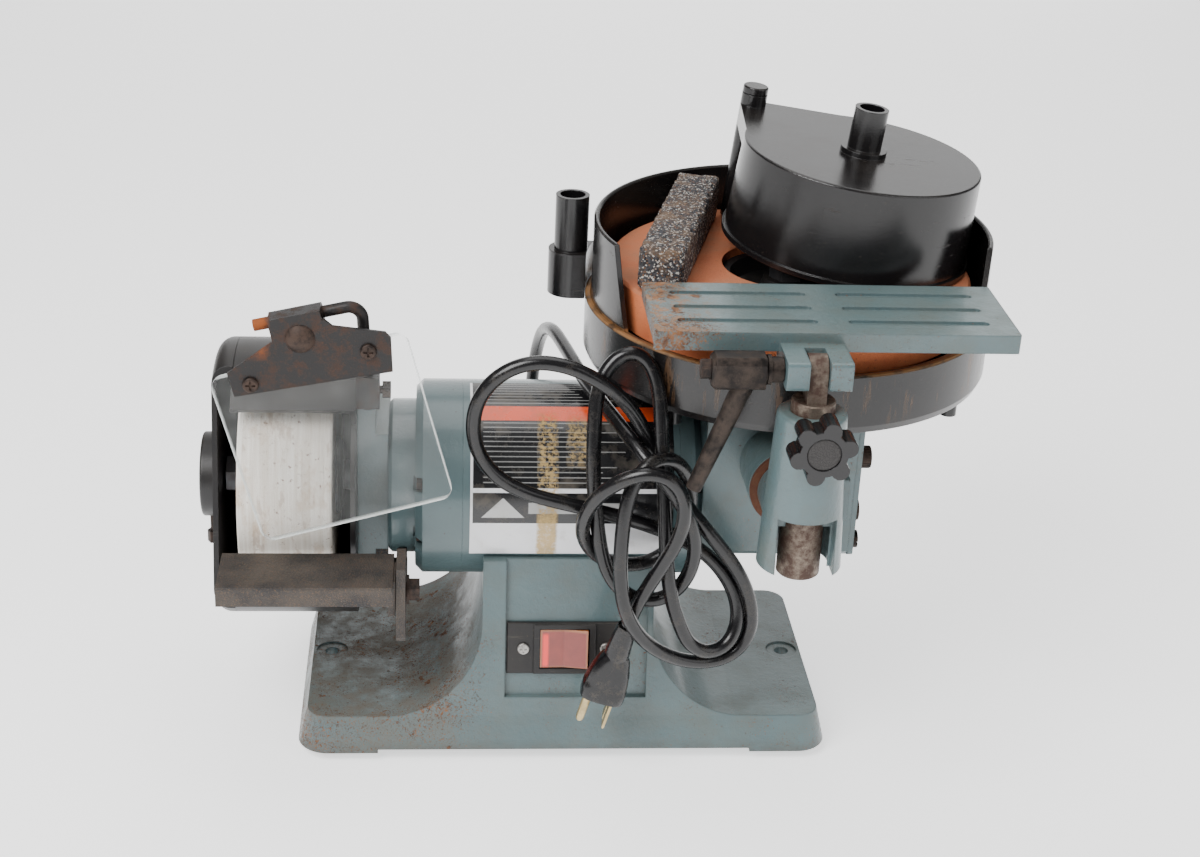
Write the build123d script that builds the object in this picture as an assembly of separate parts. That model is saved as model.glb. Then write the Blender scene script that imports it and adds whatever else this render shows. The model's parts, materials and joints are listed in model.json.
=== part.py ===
from build123d import *
from math import atan2, cos, degrees, pi, radians, sin, sqrt, tan
import os

# Two-wheel sharpener: a dry wheel on the motor shaft, and a slow wet wheel on an upright shaft
# that a worm on the same motor shaft drives. Millimetres, +Z up, the viewer on the -Y side.
# The machine is drawn with x = 0 on the base's middle, y = 0 on the motor axis and z = 0 on the
# bench. save() then moves every piece so that the row's origin is under the middle of its box.

# ---- driving dimensions ----------------------------------------------------------------------
# base casting
base_length = 292.0
base_depth = 145.0
flange_top = 27.0
foot_height = 6.0
skirt_flare = 5.5
base_corner = 12.0
casting_wall = 7.0
column_half = 48.0
column_fillet = 55.0
column_wall = 9.0
seat_top = 117.0
seat_half = 55.0
recess_depth = 3.0
recess_left = -35.0
recess_right = 45.0
recess_bottom = 38.0
bolt_spacing = 270.0
bolt_hole_r = 4.2
foot_r = 10.0
foot_inset = 16.0

# motor
axis_z = 143.2
motor_r = 55.4
label_half = 56.0
label_bottom = -25
label_top = 95
shell_wall = 5.0
shell_half = 60.0
bell_shoulder = -86.0
nose_r = 44.0
nose_end = -101.0
right_bell_end = 72.0
stator_bore = 30.6
stator_half = 30.0
tie_circle = 46.5
tie_r = 2.2
shaft_r = 8.5
bearing_od_r = 20.0
bearing_width = 12.0

# dry wheel and its guard
dry_wheel_r = 63.5
dry_wheel_width = 50.8
dry_wheel_left = -181.8
spindle_r = 6.35
guard_r = 78.0
guard_wall = 3.0
guard_left = -197.0
guard_cut = 38.0            # the cover is cut straight, this far in front of the axis
guard_cut_lean = 13.5       # degrees that the cut leans back
hub_cap_length = 9.0
guard_seam = -185.0
guard_right = -118.0
guard_open_low = -38.0
guard_open_high = 52.0
neck_half = 32.0

# dry tool rest
rest_top = 127.0
rest_thickness = 5.0
rest_left = -190.0
rest_right = -97.0
rest_front = -104.0
rest_gap = 3.5
blade_x = -95.5
blade_thickness = 5.0
rest_pivot_y = -85.0
rest_pivot_z = 116.0

# eye shield
shield_y = -85.0
shield_turn = 15.5
lens_width = 104.0
lens_height = 97.0
lens_thickness = 3.0
rod_r = 3.1
rod_drop_x = -111.7
rod_drop_y = -38.0

# wet wheel, tray and splash ring
wet_x = 123.0
wet_y = 20.0
wet_wheel_r = 101.6
wet_wheel_thickness = 25.4
wet_wheel_top = 267.0
wet_wheel_bore = 38.0
wet_shaft_r = 6.0
wheel_gap = 6.6     # the wet wheel's rim to the splash ring
tray_wall = 3.0
ring_wall = 3.0
ring_fit = 0.3
tray_bottom = 212.0
tray_rim = 247.0
ring_top = 292.0
ring_step = 230.0
ring_inner = wet_wheel_r + wheel_gap
tray_r = ring_inner + ring_wall + ring_fit + tray_wall

# gear housing
housing_left = right_bell_end
housing_right = 156.0
housing_half_depth = 55.0
housing_bottom = 121.0
housing_wall = 6.0
cover_thickness = 3.0
worm_pitch_r = 5.6
worm_teeth = 48

# wet tool rest
post_x = 113.0
post_clear = 33.5   # the tray's wall to the post's middle
post_y = wet_y - tray_r - post_clear
post_r = 11.25
post_bottom = 152.0
holder_top = 243.6
holder_bottom = 158.0
holder_window_top = 189.0
boss_z = 180.0
boss_r = 22.0
boss_front = post_y + 40.0
pivot_z = 265.5
shoulder_drop = 15.5    # from the pivot to the post's shoulder, clear of the clevis's swing
post_shoulder = pivot_z - shoulder_drop
table_left = 33.0
table_right = 220.0
table_depth = 70.0
table_front = post_y + 15.0
table_rear = table_front + table_depth
table_top = 279.0
table_thickness = 7.5

# water pot, laid upside down on the wheel
pot_r = 69.6
pot_top_r = 67.1
pot_height = 54.7
pot_wall = 2.5
pot_bead = 1.2
pot_gap = 0.76      # the pot's bead to the splash ring
pot_bearing = 25.03     # which way the pot lies from the wet wheel's middle, in degrees
pot_offset = ring_inner - pot_r - pot_bead - pot_gap
pot_x = wet_x + pot_offset * cos(radians(pot_bearing))
pot_y = wet_y + pot_offset * sin(radians(pot_bearing))
pot_lip_z = 275.0
pot_lean_x = 0.100
pot_lean_y = -0.040
valve_reach = 85.5
socket_r = 9.6
socket_reach = 7.5      # the tray's wall to the socket's middle
socket_x = wet_x - tray_r - socket_reach
socket_y = 45.5
socket_bore_r = 7.2
socket_top = 298.0

# dressing stone
stone_length = 142.0
stone_width = 25.4
stone_height = 25.4
stone_x = 62.3
stone_y = 38.5
stone_turn = 15.0

# mains cord
cord_r = 4.0

# clearances
seat_gap = 0.2      # between pieces that are bolted together
running = 0.05      # radial, a shaft in its bearing
loose = 0.4         # between pieces of different bodies
tiny = 0.02         # so that a fixed ring is not cut by its shaft


# ---- helpers ---------------------------------------------------------------------------------
def box(x0, x1, y0, y1, z0, z1):
    return Pos((x0 + x1) / 2, (y0 + y1) / 2, (z0 + z1) / 2) * Box(x1 - x0, y1 - y0, z1 - z0)


def rod_x(r, x0, x1, y=0.0, z=axis_z):
    return Pos((x0 + x1) / 2, y, z) * Rot(0, 90, 0) * Cylinder(r, x1 - x0)


def rod_y(r, y0, y1, x, z):
    return Pos(x, (y0 + y1) / 2, z) * Rot(90, 0, 0) * Cylinder(r, y1 - y0)


def rod_z(r, z0, z1, x, y):
    return Pos(x, y, (z0 + z1) / 2) * Cylinder(r, z1 - z0)


def turned_x(points):
    """A ring about the motor axis from its (x, radius) outline."""
    face = make_face(Polyline(*points, close=True))
    return Pos(0, 0, axis_z) * revolve(face, Axis.X, 360)


def turned_z(points, x, y):
    """A ring about an upright axis from its (radius, z) outline."""
    face = make_face(Polyline(*[(r, 0, z) for r, z in points], close=True))
    return Pos(x, y, 0) * revolve(face, Axis.Z, 360)


def side_prism(points, x0, x1):
    """A prism along X from its (y, z) outline."""
    face = make_face(Polyline(*[(x0, y, z) for y, z in points], close=True))
    return extrude(face, amount=x1 - x0, dir=(1, 0, 0))


def front_prism(points, y0, y1):
    """A prism along Y from its (x, z) outline."""
    face = make_face(Polyline(*[(x, y0, z) for x, z in points], close=True))
    return extrude(face, amount=y1 - y0, dir=(0, 1, 0))


def hex_prism(radius, height):
    return extrude(RegularPolygon(radius, 6), amount=height)


def hex_x(radius, x0, x1, y=0.0, z=axis_z):
    return Pos(x0, y, z) * Rot(0, 90, 0) * hex_prism(radius, x1 - x0)


def on_circle(r, angle):
    """The (y, z) of a point round the motor axis; 0 faces the viewer and 90 is up."""
    return -r * cos(radians(angle)), axis_z + r * sin(radians(angle))


def sector(r, low, high, x0, x1):
    """A wedge round the motor axis, from one angle to the other."""
    steps = 6
    turns = [low + (high - low) * i / steps for i in range(steps + 1)]
    rim = [on_circle(r, a) for a in turns]
    return side_prism([(0, axis_z)] + rim, x0, x1)


pieces = {}


def save(name, *solids):
    pieces[name] = list(solids)


# ---- base casting, feet and switch -----------------------------------------------------------
face_rise = seat_top - flange_top
face_run = base_depth / 2 - seat_half
face_lean = degrees(atan2(face_run, face_rise))


def front_y(z, inset=0.0):
    """Where the column's sloping front face stands at a height."""
    return -base_depth / 2 + face_run * (z - flange_top) / face_rise + inset / cos(radians(face_lean))


def flange_block(inset, z_low, z_high):
    layers = []
    for z in (z_low, z_high):
        flare = skirt_flare * (flange_top - z) / (flange_top - foot_height)
        length = base_length + 2 * (flare - inset)
        depth = base_depth + 2 * (flare - inset)
        corner = max(base_corner + flare - inset, 2.0)
        layers.append(Pos(0, 0, z) * RectangleRounded(length, depth, corner))
    return loft(layers)


def column_slice(inset, x0, x1, z_low, z_high):
    outline = [(front_y(z_low, inset), z_low), (front_y(z_high, inset), z_high)]
    outline += [(-y, z) for y, z in reversed(outline)]
    return side_prism(outline, x0, x1)


foot_places = [(sx * (base_length / 2 - foot_inset), sy * (base_depth / 2 - foot_inset))
               for sx in (-1, 1) for sy in (-1, 1)]
switch_z = 66.0
switch_x = -1.7
switch_plane = Plane(origin=(switch_x, front_y(switch_z, recess_depth), switch_z), x_dir=(1, 0, 0),
                     z_dir=(0, -cos(radians(face_lean)), sin(radians(face_lean))))
plate_left = -32.5
plate_right = 31.5
plate_low = -15.0
plate_high = 15.2
plate_thickness = 2.5
switch_body = (31.0, 26.5, 26.0)
window = (28.0, 23.4)
rocker_gap = 0.5
screw_places = [(-23.2, 0.0), (23.2, 0.0)]


def make_base():
    flange = flange_block(0, foot_height, flange_top)
    cavity = flange_block(casting_wall, foot_height - 1, flange_top - casting_wall)
    reach = column_half + column_fillet
    dip = 0.3
    web = column_slice(0, -reach, reach, flange_top - 3, flange_top + column_fillet - dip)
    for side in (-1, 1):
        web -= rod_y(column_fillet, -base_depth, base_depth, side * reach,
                     flange_top + column_fillet - dip)
    tower = column_slice(0, -column_half, column_half, flange_top + column_fillet - 2, seat_top)
    casting = flange + web + tower - cavity
    pad_r = foot_r + 2
    for x, y in foot_places:
        casting += rod_z(pad_r, foot_height, flange_top - 3, x, y)
    arch_half = base_length / 2 - 2.5 * foot_inset
    casting -= box(-arch_half, arch_half, -base_depth, base_depth, foot_height - 1, foot_height + 2)
    casting -= rod_x(motor_r + seat_gap, -2 * column_half, 2 * column_half)
    hollow_top = axis_z - motor_r - column_wall
    hollow = column_half - column_wall
    casting -= column_slice(column_wall + recess_depth, -hollow, hollow,
                            foot_height - 1, hollow_top)
    casting -= rod_z(8, hollow_top - 2, axis_z, -25, 0)
    recess = column_slice(0, recess_left, recess_right, recess_bottom, seat_top + 1)
    recess = recess - column_slice(recess_depth, recess_left - 1, recess_right + 1,
                                   recess_bottom - 1, seat_top + 2)
    casting -= recess & box(recess_left, recess_right, -base_depth, 0, 0, seat_top + 2)
    body = switch_plane * Box(switch_body[0] + 1, switch_body[1] + 1, 2 * switch_body[2])
    casting -= body
    for x, y in screw_places:
        casting -= switch_plane * Pos(x, y, -4) * Cylinder(1.6, 10)
    for side in (-1, 1):
        x = side * bolt_spacing / 2
        casting -= rod_z(bolt_hole_r, 0, flange_top + 1, x, 0)
        casting -= rod_z(bolt_hole_r + 5, flange_top - 1, flange_top + 1, x, 0)
    for x, y in foot_places:
        casting -= rod_z(3, foot_height - 1, foot_height + 10, x, y)
    casting -= rod_y(6.2, 0, base_depth, gland_x, gland_z)
    casting -= rod_y(10.5, gland_seat, base_depth, gland_x, gland_z)
    save("base_casting", casting)
    feet = [rod_z(foot_r, 0, foot_height, x, y) + rod_z(2.9, foot_height - 1, foot_height + 9, x, y)
            for x, y in foot_places]
    feet = [chamfer(foot.faces().sort_by(Axis.Z)[0].edges(), 1.2) for foot in feet]
    save("rubber_feet", *feet)


def make_switch():
    width = plate_right - plate_left
    height = plate_high - plate_low
    middle = ((plate_left + plate_right) / 2, (plate_low + plate_high) / 2)
    plate = Pos(middle[0], middle[1], plate_thickness / 2) * Box(width, height, plate_thickness)
    plate = chamfer(plate.faces().sort_by(Axis.Z)[-1].edges(), 0.6)
    plate -= Box(switch_body[0] + 0.2, switch_body[1] + 0.2, 20)
    for x, y in screw_places:
        plate -= Pos(x, y, 0) * Cylinder(1.7, 20)
    save("switch_plate", switch_plane * plate)

    screws = []
    for x, y in screw_places:
        head = Cylinder(3.4, 1.6, align=(Align.CENTER, Align.CENTER, Align.MIN))
        head = fillet(head.faces().sort_by(Axis.Z)[-1].edges(), 0.9)
        head -= Pos(0, 0, 1.6) * Box(4.2, 0.9, 1.2)
        head -= Pos(0, 0, 1.6) * Box(0.9, 4.2, 1.2)
        shank = Pos(0, 0, -9) * Cylinder(1.5, 9.5, align=(Align.CENTER, Align.CENTER, Align.MIN))
        screws.append(switch_plane * Pos(x, y, plate_thickness) * (head + shank))
    save("switch_screws", *screws)

    body_w, body_h, body_d = switch_body
    rim = Pos(0, 0, plate_thickness + 0.75) * Box(body_w + 4, body_h + 3, 1.5)
    rim = chamfer(rim.faces().sort_by(Axis.Z)[-1].edges(), 0.5)
    case = Pos(0, 0, plate_thickness - body_d / 2) * Box(body_w, body_h, body_d)
    pocket = Pos(0, 0, plate_thickness + 1) * Box(window[0], window[1], 26)
    pin_z = plate_thickness - 3
    sockets = Pos(0, 0, pin_z) * Rot(90, 0, 0) * Cylinder(1.3, window[1] + 2)
    save("switch_housing", switch_plane * (rim + case - pocket - sockets))

    half = window[0] / 2 - rocker_gap
    lip = plate_thickness + 1.9 - pin_z
    section = [(-half, -1.5), (-half, lip), (0, lip - 1.6), (half, lip), (half, -1.5), (5, -5), (-5, -5)]
    span = window[1] - 2 * rocker_gap
    face = make_face(Polyline(*[(x, 0, z) for x, z in section], close=True))
    paddle = Pos(0, -span / 2, 0) * extrude(face, amount=span, dir=(0, 1, 0))
    pin = Rot(90, 0, 0) * Cylinder(1.3 - running, window[1] + 1.6)
    save("rocker", switch_plane * Pos(0, 0, pin_z) * Rot(0, -rocker_tilt, 0) * (paddle + pin))


rocker_tilt = 5.0
gland_x = -12.0
gland_z = 66.0
gland_seat = -front_y(gland_z) - 1.5


# ---- motor -----------------------------------------------------------------------------------
tie_angles = (20, 160, 200, 340)
notch_depth = 4.0
notch_width = 8.0


def tie_rods(r, x0, x1):
    return [rod_x(r, x0, x1, *on_circle(tie_circle, a)) for a in tie_angles]


def cut_notches(bell, x0, x1):
    for a in tie_angles:
        y, z = on_circle(tie_circle + 5, a)
        bell -= Pos((x0 + x1) / 2, y, z) * Rot(-a, 0, 0) * Box(x1 - x0, 19, notch_width)
    return bell


def make_motor():
    shell = rod_x(motor_r, -shell_half, shell_half) - rod_x(motor_r - shell_wall, -61, 61)
    save("motor_shell", shell)

    bore_in = bearing_od_r + tiny
    left = turned_x([
        (-shell_half, motor_r), (bell_shoulder + 4, motor_r), (bell_shoulder, motor_r - 4),
        (bell_shoulder, nose_r), (nose_end + 2, nose_r), (nose_end, nose_r - 2),
        (nose_end, shaft_r + 2), (nose_end + 3, shaft_r + 2), (nose_end + 3, bore_in),
        (nose_end + 3 + bearing_width, bore_in), (nose_end + 3 + bearing_width, bore_in + 5),
        (nose_end + 5, bore_in + 5), (nose_end + 5, nose_r - 4), (bell_shoulder + 7, nose_r - 4),
        (bell_shoulder + 7, motor_r - 6), (-shell_half, motor_r - 6)])
    left = cut_notches(left, bell_shoulder - 1, bell_shoulder + notch_depth)
    for hole in tie_rods(tie_r + 0.3, bell_shoulder - 1, -shell_half + 1):
        left -= hole
    save("end_bell_left", left)

    wall = right_bell_end - 8
    pocket = right_bell_end - 6 - bearing_width
    right = turned_x([
        (shell_half, motor_r), (right_bell_end - 4, motor_r), (right_bell_end, motor_r - 4),
        (right_bell_end, shaft_r + 2), (right_bell_end - 6, shaft_r + 2),
        (right_bell_end - 6, bore_in), (pocket, bore_in), (pocket, bore_in + 5),
        (wall, bore_in + 5), (wall, motor_r - 6), (shell_half, motor_r - 6)])
    right = cut_notches(right, right_bell_end - notch_depth, right_bell_end + 1)
    for hole in tie_rods(tie_r + 0.3, shell_half - 1, right_bell_end):
        right -= hole
    save("end_bell_right", right)

    bolts = []
    for a in tie_angles:
        y, z = on_circle(tie_circle, a)
        bolt = rod_x(tie_r, bell_shoulder + notch_depth - 1, right_bell_end - 0.4, y, z)
        bolt += hex_x(3.9, bell_shoulder + 0.6, bell_shoulder + notch_depth, y, z)
        bolt += hex_x(3.9, right_bell_end - notch_depth, right_bell_end - 0.8, y, z)
        bolts.append(bolt)
    save("tie_bolts", *bolts)

    stator = rod_x(motor_r - shell_wall - tiny, -stator_half, stator_half)
    stator -= rod_x(stator_bore, -stator_half - 1, stator_half + 1)
    for i in range(12):
        y, z = on_circle(stator_bore + 4, 30 * i + 5)
        stator -= Pos(0, y, z) * Rot(-(30 * i + 5), 0, 0) * Box(2 * stator_half + 2, 12, 4)
    for hole in tie_rods(tie_r + 0.3, -stator_half - 1, stator_half + 1):
        stator -= hole
    save("stator", stator)
    coil = (stator_bore + 1.5, tie_circle - tie_r - 1.5)
    coils = []
    for side in (-1, 1):
        near = side * (stator_half + 0.2)
        far = side * (stator_half + 17)
        slope = side * 3
        coils.append(turned_x([(near, coil[0]), (far - slope, coil[0]), (far, coil[0] + 3),
                               (far, coil[1] - 3), (far - slope, coil[1]), (near, coil[1])]))
    save("windings", *coils)

    rotor = rod_x(stator_bore - 0.6, -stator_half, stator_half)
    rotor -= rod_x(shaft_r + tiny, -stator_half - 1, stator_half + 1)
    for i in range(16):
        y, z = on_circle(stator_bore - 5, 22.5 * i)
        rotor -= rod_x(2, -stator_half - 1, stator_half + 1, y, z)
    save("rotor", rotor)

    bearings = []
    for x in (nose_end + 3, pocket):
        ring = rod_x(bearing_od_r, x, x + bearing_width) - rod_x(shaft_r + running, x - 1, x + 20)
        groove = turned_x([(x - 1, 12.0), (x + 1, 12.0), (x + 1, 16.5), (x - 1, 16.5)])
        bearings.append(ring - groove)
    save("shaft_bearings", *bearings)

    shaft = turned_x([
        (spindle_end, 0), (spindle_end, spindle_r - 1), (spindle_end + 1, spindle_r),
        (flange_seat, spindle_r), (flange_seat, shaft_r), (housing_left + 4, shaft_r),
        (housing_left + 4, 6.0), (worm_left, 6.0), (worm_left, worm_shaft_r),
        (shaft_right, worm_shaft_r), (shaft_right, 0)])
    save("motor_shaft", shaft)

    label = rod_x(motor_r + 0.45, -label_half, label_half)
    label -= rod_x(motor_r + 0.1, -label_half - 1, label_half + 1)
    save("label_plate", label & sector(90, label_bottom, label_top, -label_half - 2, label_half + 2))

    can = rod_x(17, -30, 30, 12, 42)
    can = fillet(can.faces().sort_by(Axis.X)[-1].edges(), 2)
    save("start_capacitor", can)


spindle_end = -193.2
flange_seat = dry_wheel_left + dry_wheel_width + 4
worm_shaft_r = 3.5
worm_left = wet_x - 15
worm_right = wet_x + 15
shaft_right = housing_right - 3


# ---- dry wheel, guard and its rest -----------------------------------------------------------
def make_dry_wheel():
    right = dry_wheel_left + dry_wheel_width
    wheel = turned_x([(dry_wheel_left, spindle_r + tiny), (dry_wheel_left, dry_wheel_r - 1),
                      (dry_wheel_left + 1, dry_wheel_r), (right - 1, dry_wheel_r),
                      (right, dry_wheel_r - 1), (right, spindle_r + tiny)])
    save("dry_wheel", wheel)
    inner = turned_x([(right, spindle_r + tiny), (right, 22), (right + 1.5, 22), (right + 4, 18),
                      (right + 4, spindle_r + tiny)])
    outer = turned_x([(dry_wheel_left, spindle_r + tiny), (dry_wheel_left, 22),
                      (dry_wheel_left - 1.5, 22), (dry_wheel_left - 4, 18),
                      (dry_wheel_left - 4, spindle_r + tiny)])
    save("wheel_flanges", inner, outer)
    nut = hex_x(11, dry_wheel_left - 10.8, dry_wheel_left - 4)
    save("wheel_nut", nut - rod_x(spindle_r + tiny, -300, 0))


def make_guard():
    r = guard_r
    inner = r - guard_wall
    wall = rod_x(r, guard_seam, guard_right) - rod_x(inner, guard_seam - 1, guard_right - guard_wall)
    wall -= rod_x(14, guard_right - 10, guard_right + 1)
    opening = sector(2 * r, guard_open_low, guard_open_high, guard_seam - 1, guard_right + 1)
    wall -= opening - rod_x(dry_wheel_r - 1.5, guard_right - guard_wall, guard_right + 2)
    save("guard_housing", wall)

    round_r = 9.0
    cap = rod_x(r, guard_left, guard_seam - seat_gap)
    cap = fillet(cap.faces().sort_by(Axis.X)[0].edges(), round_r)
    hollow = rod_x(inner, guard_left + guard_wall, guard_seam + 1)
    hollow = fillet(hollow.faces().sort_by(Axis.X)[0].edges(), round_r - guard_wall)
    cap -= hollow
    front = box(guard_left - 1, guard_seam + 1, -2 * r, -guard_cut, -2 * r, 2 * r)
    cap -= Pos(0, 0, axis_z) * Rot(-guard_cut_lean, 0, 0) * front
    save("guard_cover", cap)

    cap_x = guard_left - hub_cap_length
    hub = rod_x(24, cap_x, guard_left)
    hub = fillet(hub.faces().sort_by(Axis.X)[0].edges(), 1.5)
    screw_x = guard_left - hub_cap_length / 2
    low = axis_z - 24
    hub -= rod_z(1.95, low - 1, low + 9, screw_x, 0)
    save("hub_cap", hub)

    hub_screw = rod_z(1.9, low - 12, low + 8, screw_x, 0)
    hub_screw += Pos(screw_x, 0, low - 19) * hex_prism(3.8, 7)
    thumb_z = clamp_low + 9
    thumb = rod_x(2.2, clamp_right - 2.9, clamp_right + 5, rod_drop_y, thumb_z)
    thumb += hex_x(5.0, clamp_right + 1.5, clamp_right + 6, rod_drop_y, thumb_z)
    save("guard_screws", hub_screw, thumb)

    nose = nose_end
    arm = box(guard_right, guard_right + 10, -neck_half, neck_half, axis_z - 39, axis_z + 71)
    arm += box(guard_right + 10, nose, -neck_half, neck_half, axis_z - 31, axis_z + 40)
    arm -= rod_x(27, guard_right - 1, nose + 1)
    save("guard_neck", arm)

    clamp = box(guard_right, clamp_right, rod_drop_y - 6.3, -neck_half, clamp_low, clamp_low + 18)
    clamp -= rod_z(rod_r + running, clamp_low - 1, clamp_low + 20, rod_drop_x, rod_drop_y)
    clamp -= rod_x(2.25, rod_drop_x, clamp_right + 1, rod_drop_y, thumb_z)
    save("shield_clamp", clamp)


clamp_right = -105.4
clamp_low = 204.0


def make_dry_rest():
    blade_right = blade_x + blade_thickness
    low_z = axis_z - 55
    head = side_prism([(-96, low_z + 4), (-96, rest_top + 7), (-72, rest_top + 7), (-62, rest_top - 14),
                       (-neck_half, rest_top - 14), (-neck_half, low_z), (-92, low_z)],
                      blade_x, blade_right)
    slot_ends = (rest_pivot_y - rest_slide_out, rest_pivot_y + rest_slide_in)
    slot_r = 4.2
    slot = rod_x(slot_r, blade_x - 1, blade_right + 1, slot_ends[0], rest_pivot_z)
    slot += rod_x(slot_r, blade_x - 1, blade_right + 1, slot_ends[1], rest_pivot_z)
    slot += box(blade_x - 1, blade_right + 1, slot_ends[0], slot_ends[1],
                rest_pivot_z - slot_r, rest_pivot_z + slot_r)
    head -= slot
    foot = box(nose_end - 7, nose_end - 0.3, -neck_half, -16, axis_z - 53, axis_z - 31)
    foot += box(nose_end - 1, blade_right, -neck_half - 0.5, -16, low_z, axis_z - 45)
    save("rest_arm", head + foot)

    rear = -sqrt((dry_wheel_r + rest_gap) ** 2 - (axis_z - rest_top) ** 2)
    plate = box(rest_left, rest_right, rest_front, rear, rest_top - rest_thickness, rest_top)
    plate = fillet(plate.edges().filter_by(Axis.X).sort_by(Axis.Y)[0:2].sort_by(Axis.Z)[-1], 1.5)
    lip = box(rest_left, rest_right, rest_front, rest_front + 3, rest_top - 11, rest_top - 2)
    ear_right = blade_x - 0.4
    ear = side_prism([(-96, rest_top - 2), (-93, 104), (-77, 104), (-74, rest_top - 2)],
                     ear_right - 4, ear_right)
    rest = plate + lip + ear + box(rest_right - 1, ear_right, -96, -74,
                                   rest_top - rest_thickness, rest_top - 0.5)
    rest -= rod_x(4.0, -110, -90, rest_pivot_y, rest_pivot_z)
    save("dry_rest", rest)

    washer = rod_x(8, blade_right + loose, blade_right + 1.9, rest_pivot_y, rest_pivot_z)
    bolt = washer + hex_x(6.8, blade_right + 1.5, blade_right + 7.5, rest_pivot_y, rest_pivot_z)
    bolt += rod_x(4.0 - running, ear_right - 8, blade_right + 2, rest_pivot_y, rest_pivot_z)
    bolt += hex_x(5.4, ear_right - 9, ear_right - 4 - loose, rest_pivot_y, rest_pivot_z)
    save("rest_bolt", bolt)


rest_slide_in = 2.5
rest_slide_out = 6.0


# ---- eye shield ------------------------------------------------------------------------------
shield_middle = (-127.9, 205.6)
lens_plane = Plane(origin=(shield_middle[0], shield_y, shield_middle[1]),
                   x_dir=(cos(radians(shield_turn)), 0, sin(radians(shield_turn))), z_dir=(0, -1, 0))
curl_length = 27.0
rod_left = (-168.0, 264.9)
rod_right = (-113.2, 277.3)
shield_nut = 3.2
rod_y_place = shield_y + lens_thickness / 2 + shield_nut + loose + rod_r
shield_screw_places = [(-169.3, 237.1), (-109.6, 256.2)]
dome_place = (-143.8, 262.5)


def make_shield():
    lens = extrude(RectangleRounded(lens_width, lens_height, 7), amount=lens_thickness / 2, both=True)
    lens = lens_plane * lens
    front = shield_y - lens_thickness / 2
    sheet = 2.0
    for x, z in shield_screw_places:
        lens -= rod_y(2.1, shield_y - 5, shield_y + 5, x, z)
    save("shield_lens", lens)

    outline = [(-181, 243), (-177.7, 230.2), (-97.3, 245.1), (-98.2, 263.4), (-101, 266.6),
               (-127.5, 269.6), (-131.5, 273), (-158.9, 266.5), (-156.6, 261.4)]
    bracket = front_prism(outline, front - sheet - 0.05, front - 0.05)
    along = Vector(rod_right[0] - rod_left[0], 0, rod_right[1] - rod_left[1]).normalized()
    curl_start = Vector(rod_left[0], rod_y_place, rod_left[1]) + along * 9
    curl_plane = Plane(origin=curl_start, z_dir=along)
    curl_r = rod_r + sheet
    curl = curl_plane * Cylinder(curl_r, curl_length, align=(Align.CENTER, Align.CENTER, Align.MIN))
    bore = curl_plane * Cylinder(rod_r + running, 4 * curl_length)
    top = (front - sheet - 0.05, rod_y_place)
    strap = box(0, curl_length, *top, curl_r - sheet, curl_r)
    strap += box(0, curl_length, top[0], top[0] + sheet, -2 * curl_r, curl_r)
    lean = -degrees(atan2(along.Z, along.X))
    strap = Pos(curl_start.X, 0, curl_start.Z) * Rot(0, lean, 0) * strap
    bracket = bracket + strap + curl - bore
    for x, z in shield_screw_places + [dome_place]:
        bracket -= rod_y(2.1, front - 5, front, x, z)
    save("shield_bracket", bracket)

    face_y = front - sheet - 0.05
    screws = []
    for x, z in shield_screw_places:
        head = rod_y(4.2, face_y - 2, face_y, x, z)
        head = fillet(head.faces().sort_by(Axis.Y)[0].edges(), 1.2)
        head -= Pos(x, face_y - 2, z) * (Box(5, 1.6, 1) + Box(1, 1.6, 5))
        screws.append(head + rod_y(2.0, face_y - 1, shield_y + 2, x, z)
                      + rod_y(4.0, shield_y + lens_thickness / 2, rod_y_place - rod_r - loose, x, z))
    x, z = dome_place
    dome = Pos(x, face_y + 6.5, z) * Sphere(10)
    dome &= rod_y(7.8, face_y - 6, face_y, x, z)
    screws.append(dome + rod_y(2.0, face_y - 1, front + 2, x, z))
    save("shield_screws", *screws)

    route = [(rod_left[0], rod_y_place, rod_left[1]), (rod_right[0], rod_y_place, rod_right[1]),
             (rod_drop_x, rod_y_place + 2, 251), (rod_drop_x, rod_drop_y, 238),
             (rod_drop_x, rod_drop_y, 202)]
    wire = FilletPolyline(*route, radius=[7, 7, 7])
    start = Plane(origin=route[0], z_dir=along)
    save("shield_rod", sweep(start * Circle(rod_r), path=wire))


# ---- gear housing and wet wheel --------------------------------------------------------------
worm_wheel_pitch_r = wet_y - worm_pitch_r
tooth_pitch = 2 * pi * worm_wheel_pitch_r / worm_teeth
tooth_height = 0.55 * tooth_pitch
tip_gap = 0.1
bush_r = 10.0
hub_bottom = 222.0
flange_low = 237.4


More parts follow.
